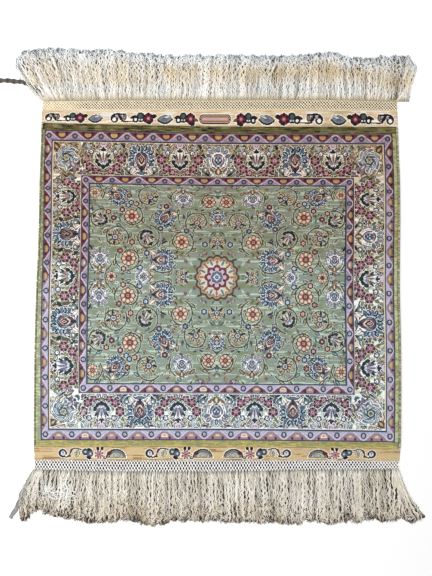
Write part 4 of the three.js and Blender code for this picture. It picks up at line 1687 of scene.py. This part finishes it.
def fringe_threads(fringe, part, share, random):
    """Paths of the loose threads of one end."""
    count, stations = part["threads"], part["stations"]
    shape = (count, stations)
    places = fringe.places(count, random)
    x, y, bunch = bunched(fringe, part, places, share, random)
    waves = fringe_waves(part, share, np.abs(y[:, -1:] - y[:, :1]).mean(), bunch, random)
    near = ((count / 40, stations / 2.5), part["drift"])
    drift = layered_noise(random, shape, near, ((1, stations / 4), part["stray"]))
    x += (waves + drift * fringe.calm(places, 20, 0.2)) * np.clip(share * 6, 0, 1) * MM
    shorter = fringe.shorter(places) + np.abs(random.normal(0, part["ragged"], (count, 1))) * MM
    y -= fringe.out * shorter * share**2
    low, high = part["low"], part["high"]
    level = low + (high - low) * random.random(bunch.max() + 1)[bunch][:, None]
    level = level + random.uniform(-0.12, 0.12, (count, 1)) * (high - low)
    z = np.clip(level + smooth_noise(random, shape, (2, stations / 5), (high - low) * 0.3), low, high)
    return np.stack([x, y, z * np.clip(0.4 + share * 6, 0, 1) * MM], -1)


def fringe_colours(fringe, lines, share, random):
    """Colours of the loose threads: both lots in patches, and painted shade that darkens a thread the lower
    it lies.
    """
    shape = lines.shape[:2]
    patches = layered_noise(random, shape, ((50, shape[1] / 3), 0.5), ((5, shape[1]), 0.4))
    mix = np.clip(0.45 + patches + random.normal(0, 0.18, (shape[0], 1)), 0, 1)[..., None]
    colours = fringe.tones(0, share)[None] * (1 - mix) + fringe.tones(1, share)[None] * mix
    colours = colours * (1 + 0.1 * random.standard_normal((shape[0], 1, 1)))
    # Painted shade: the lower a thread lies, the darker it is painted
    depth = lines[..., 2] / MM / FRINGE_PARTS["over"]["high"]
    shade = 0.16 if fringe.end == "top" else 0.02
    colours = colours * np.clip(shade + (1.02 - shade) * depth, 0.16, 1.08)[..., None]
    colours = colours * (1 + smooth_noise(random, shape, (2, 3), 0.14))[..., None]
    if fringe.end == "bottom":
        from_corner = lines[:, :1, 0] - lines[:, 0, 0].min()
        colours = colours * (0.82 + 0.18 * np.clip(from_corner / (22 * MM), 0, 1))[..., None]
    return np.clip(colours, 0.01, 0.93)


def loose_threads(fringe, name, part, material):
    """Joined threads of one part of a fringe, thinner towards their tips."""
    random = np.random.default_rng(part["seed"][fringe.end])
    share = np.linspace(0, 1, part["stations"])[None, :]
    lines = fringe_threads(fringe, part, share, random)
    width = bpy.context.scene.rug_sizes.thread_width * part["width"]
    widths = width * (1 + 0.18 * random.standard_normal((len(lines), 1)))
    widths = widths * np.clip((1.04 - share) * 9, 0.25, 1)
    colours = fringe_colours(fringe, lines, share, random)
    thread_mesh(f"fringe_{name}_{fringe.end}", lines, widths, THREAD_ARCH, colours, *fringe.kind(material))


def fringe_painted_shade_mat(fringe, material):
    """Lowest threads of a fringe, packed side by side, painted dark as the shade that the others cast on
    them.
    """
    random = seeded(61, fringe.end)
    count, stations = shape = (1500, 14)
    share = np.linspace(0, 1, stations)[None, :]
    # These ten draws go unused, and the ones after them depend on their number
    random.random(10)
    places = np.linspace(0.5, fringe.length - 0.5, count)
    x, y = fringe.paths(places, share)
    x += smooth_noise(random, shape, (count / 40, stations / 2.5), 2.0) * np.clip(share * 6, 0, 1) * MM
    y -= fringe.out * (fringe.shorter(places) + (1.5 + 1.5 * random.random((count, 1))) * MM) * share**2
    ridge = 0.05 + 0.16 * (np.arange(count) % 2)
    z = np.repeat(ridge[:, None], stations, 1) + smooth_noise(random, shape, (4, 3), 0.03)
    quads = grid_faces(np.arange(count * stations).reshape(shape))
    if fringe.end == "top":
        quads = quads[:, ::-1]
    points = np.stack([x, y, np.clip(z, 0.02, 0.3) * MM], -1)
    thing = new_object("fringe_under_" + fringe.end, points, quads.tolist())
    # Painted shade: the colour of these threads is the shadow that the loose threads cast
    colours = fringe.tones(2, share)[None] * (1 + 0.3 * random.standard_normal((count, 1, 1)))
    colours = colours * (1 + smooth_noise(random, shape, (8, 4), 0.3))[..., None]
    add_colours(thing, "silk", np.clip(colours, 0.005, 0.5), "POINT")
    declare(thing, *fringe.kind(material))


def curled_tips(fringe, material):
    """Short ends that curl over each other along the tips."""
    random = seeded(71, fringe.end)
    count, stations = 950, 9
    places = fringe.places(count, random)
    start = 1 - random.random((count, 1)) ** 1.6 * CURL_REACH[fringe.end]
    root_x, root_y = fringe.paths(places, start)
    share = np.linspace(0, 1, stations)[None, :]
    length = random.uniform(6, 12, (count, 1)) * MM
    turn = random.normal(0, 0.6, (count, 1)) + random.normal(0, 1.3, (count, 1)) * share
    turn += 0.35 * np.sin(9 * share + random.uniform(0, 6.3, (count, 1)))
    turn *= fringe.calm(places, 14, 0.15)
    step = length / (stations - 1)
    x = root_x + np.cumsum(np.sin(turn) * step, 1) - np.sin(turn[:, :1]) * step
    y = root_y + fringe.out * (np.cumsum(np.cos(turn) * step, 1) - 0.9 * length - fringe.shorter(places))
    z = (random.uniform(0.5, 1.45, (count, 1)) + 0.25 * np.sin(3 * share)) * MM
    pick = random.random(count) + smooth_noise(random, (count, 1), (26, 1), 0.34)[:, 0]
    # The darkest lot is painted shade, the shadow under the curled tips
    tones = np.array(CURL_TONES_AND_SHADE[fringe.end])[np.searchsorted(CURL_LOTS[fringe.end], pick)]
    colours = np.repeat(linear(tones / 255)[:, None], stations, 1)
    colours = np.clip(colours * (1 + 0.12 * random.standard_normal((count, 1, 1))), 0.005, 0.93)
    widths = bpy.context.scene.rug_sizes.thread_width * 0.9 * np.clip((1.05 - share) * 6, 0.3, 1)
    lines = np.stack([x, y, z + 0 * x], -1)
    thread_mesh("fringe_curls_" + fringe.end, lines, widths, THREAD_ARCH, colours, *fringe.kind(material))


class RUG_OT_fringes(bpy.types.Operator):
    """Lays out the loose, crinkled warp ends past each net"""

    bl_idname = "rug.fringes"
    bl_label = "Fringes"

    def execute(self, context):
        material = thread_material("loose_silk", context.scene.rug_looks.thread_roughness, 0.35)
        fringes = [Fringe(end) for end in LOCKS]
        for fringe in fringes:
            fringe_painted_shade_mat(fringe, material)
            for name, part in FRINGE_PARTS.items():
                loose_threads(fringe, name, part, material)
            curled_tips(fringe, material)
        for fringe in fringes:
            stray_lock(fringe, material)
        loose_strands(fringe, material)
        return {"FINISHED"}


def stray_lock(fringe, material):
    """Dark knotted lock that lies out to the side at the left corner of an end."""
    route, threads, tone, beads, taper = STRAY_LOCKS[fringe.end]
    random = np.random.default_rng(9)
    route = np.array(rounded(route, 10)) * MM + np.array(PILE_MIDDLE.xy)
    share = np.linspace(0, 1, len(route))[None, :]
    shape = (threads, len(route))
    lines = np.zeros((*shape, 3))
    ahead = np.gradient(route, axis=0)
    sideways = np.stack([-ahead[:, 1], ahead[:, 0]], -1) / np.linalg.norm(ahead, axis=1)[:, None]
    spread = random.uniform(-1, 1, (threads, 1))
    between_knots = np.sin(27 * share) ** 4
    swelling = 2.2 - 0.7 * beads + 1.0 * beads * between_knots
    offset = spread * swelling * (1.5 - taper * share) + 0.5 * np.sin(24 * share + 9 * spread)
    lines[..., :2] = route[None] + sideways[None] * offset[..., None] * MM
    level = 0.4 + 0.8 * random.uniform(0, 1, (threads, 1))
    lines[..., 2] = (level + 0.3 * np.sin(20 * share + 5 * spread)) * MM
    colours = shades(tone, random, shape, 0.25) * (1 - beads * between_knots)[..., None]
    # Painted shade: threads towards the sides of the lock are darker than those in its middle
    colours = np.clip(colours * (1.15 - 0.6 * np.abs(spread))[..., None], 0.01, 0.9)
    name = "fringe_stray_lock_" + fringe.end
    thread_mesh(name, lines, 0.9 * MM, 0.5 * MM, colours, *fringe.kind(material))


def loose_strands(fringe, material):
    """White strands that lie across the others in a heap near the bottom left corner."""
    random = np.random.default_rng(10)
    threads, stations = shape = (52, 12)
    middles = np.stack([random.uniform(-280, -226, threads), random.normal(-339, 4.5, threads)], -1)
    turn = random.choice([-0.8, 0.2, 0.9, 1.9], (threads, 1)) + random.normal(0, 0.3, (threads, 1))
    turn = turn + np.linspace(-0.5, 0.5, stations) * random.normal(0, 1.4, (threads, 1))
    step = random.uniform(8, 22, (threads, 1)) / stations
    lines = np.zeros((*shape, 3))
    lines[..., 0] = middles[:, :1] + np.cumsum(np.cos(turn) * step, 1) - stations * step / 2
    lines[..., 1] = middles[:, 1:] + np.cumsum(np.sin(turn) * step, 1)
    lines = lines * MM + np.array(PILE_MIDDLE)
    lines[..., 2] = random.uniform(1.25, 1.6, (threads, 1)) * MM
    colours = np.clip(shades((232, 231, 229), random, shape, 0.05), 0.01, 0.93)
    name = "fringe_loose_strands_bottom"
    thread_mesh(name, lines, 0.8 * MM, 0.4 * MM, colours, *fringe.kind(material))


# Sheets


class RUG_OT_sheets(bpy.types.Operator):
    """Works out the width and length of the pile and of each flat-woven end"""

    bl_idname = "rug.sheets"
    bl_label = "Sheets"

    def execute(self, context):
        regions = cloth_regions()
        width, length = regions["pile"].width(0), regions["pile"].length()
        for end, outer in (("top", regions["top"].high), ("bottom", regions["bottom"].low)):
            width, length = regions[end].width(outer(0)), regions[end].length()
        return {"FINISHED"}


# Stage

CAMERA_DISTANCE = 1.6
CAMERA_TILT = math.asin(0.0995)
CAMERA_TURN = math.radians(0.45)
LENS = 60.0
FLOOR_SIZE = 12.0

# Lamps: name, place, what they point at, diameter and power
LAMPS = (
    ("key", (-0.9, 0.9, 1.7), (0, 0, 0), 0.9, 26),
    ("low_left", (-1.3, -1.1, 1.0), (-0.1, -0.1, 0), 0.8, 14),
)


def soft_lamp(name, place, target, size, power):
    light = bpy.data.lights.new(name, "AREA")
    light.shape = "DISK"
    light.size = size
    light.energy = power
    lamp = bpy.data.objects.new(name, light)
    bpy.context.scene.collection.objects.link(lamp)
    lamp.location = place
    lamp.rotation_euler = (Vector(target) - Vector(place)).to_track_quat("-Z", "Y").to_euler()


class RUG_OT_stage(bpy.types.Operator):
    """Sets up the pale floor, the studio light and the camera"""

    bl_idname = "rug.stage"
    bl_label = "Stage"

    def execute(self, context):
        scene = context.scene
        strength = scene.rug_looks.light
        material = Nodes("pale_floor").finish(
            Base_Color=(0.93, 0.93, 0.93, 1.0), Roughness=0.9, Specular_IOR_Level=0.1
        )
        corners = np.array([(-1, -1, 0), (1, -1, 0), (1, 1, 0), (-1, 1, 0)]) * (FLOOR_SIZE / 2)
        floor = new_object("floor", corners, [(0, 1, 2, 3)])
        floor.data.materials.append(material)
        world = bpy.data.worlds.new("studio")
        world.use_nodes = True
        background = world.node_tree.nodes["Background"].inputs
        background["Color"].default_value = (1.0, 1.0, 1.0, 1.0)
        background["Strength"].default_value = 0.62 * strength
        scene.world = world
        for name, place, target, size, power in LAMPS:
            soft_lamp(name, place, target, size, power * strength)
        camera = bpy.data.objects.new("camera", bpy.data.cameras.new("camera"))
        scene.collection.objects.link(camera)
        camera.data.lens = LENS
        camera.data.sensor_width = 36.0
        camera.data.clip_end = 50.0
        tilt = Matrix.Rotation(CAMERA_TILT, 4, "X")
        turn = Matrix.Rotation(CAMERA_TURN, 4, "Z")
        back = Matrix.Translation((0, 0, CAMERA_DISTANCE))
        camera.matrix_world = Matrix.Translation(PILE_MIDDLE) @ turn @ tilt @ back
        scene.camera = camera
        scene.view_settings.view_transform = "Standard"
        return {"FINISHED"}


class RUG_PT_panel(bpy.types.Panel):
    """Sizes, looks and silks of the rug, and its pieces"""

    bl_idname = "RUG_PT_panel"
    bl_label = "Silk rug"
    bl_space_type = "VIEW_3D"
    bl_region_type = "UI"
    bl_category = "Silk rug"

    def draw(self, context):
        layout = self.layout
        for operator in OPERATORS:
            layout.operator(operator.bl_idname)
        for name in GROUPS:
            group = getattr(context.scene, name)
            box = layout.box()
            for key in group.__annotations__:
                box.prop(group, key)


PIECES = (RUG_OT_pile, RUG_OT_bands, RUG_OT_selvedges, RUG_OT_nets, RUG_OT_fringes)
OPERATORS = (RUG_OT_stage, *PIECES, RUG_OT_sheets)
GROUPS = {"rug_sizes": RugSizes, "rug_looks": RugLooks, "rug_silks": RugSilks}
CLASSES = (*GROUPS.values(), *OPERATORS, RUG_PT_panel)


def register():
    for cls in CLASSES:
        bpy.utils.register_class(cls)
    for name, group in GROUPS.items():
        setattr(bpy.types.Scene, name, bpy.props.PointerProperty(type=group))


def unregister():
    for name in GROUPS:
        delattr(bpy.types.Scene, name)
    for cls in reversed(CLASSES):
        bpy.utils.unregister_class(cls)


def main():
    register()
    for operator in OPERATORS:
        group, name = operator.bl_idname.split(".")
        getattr(getattr(bpy.ops, group), name)()


if __name__ == "__main__":
    main()
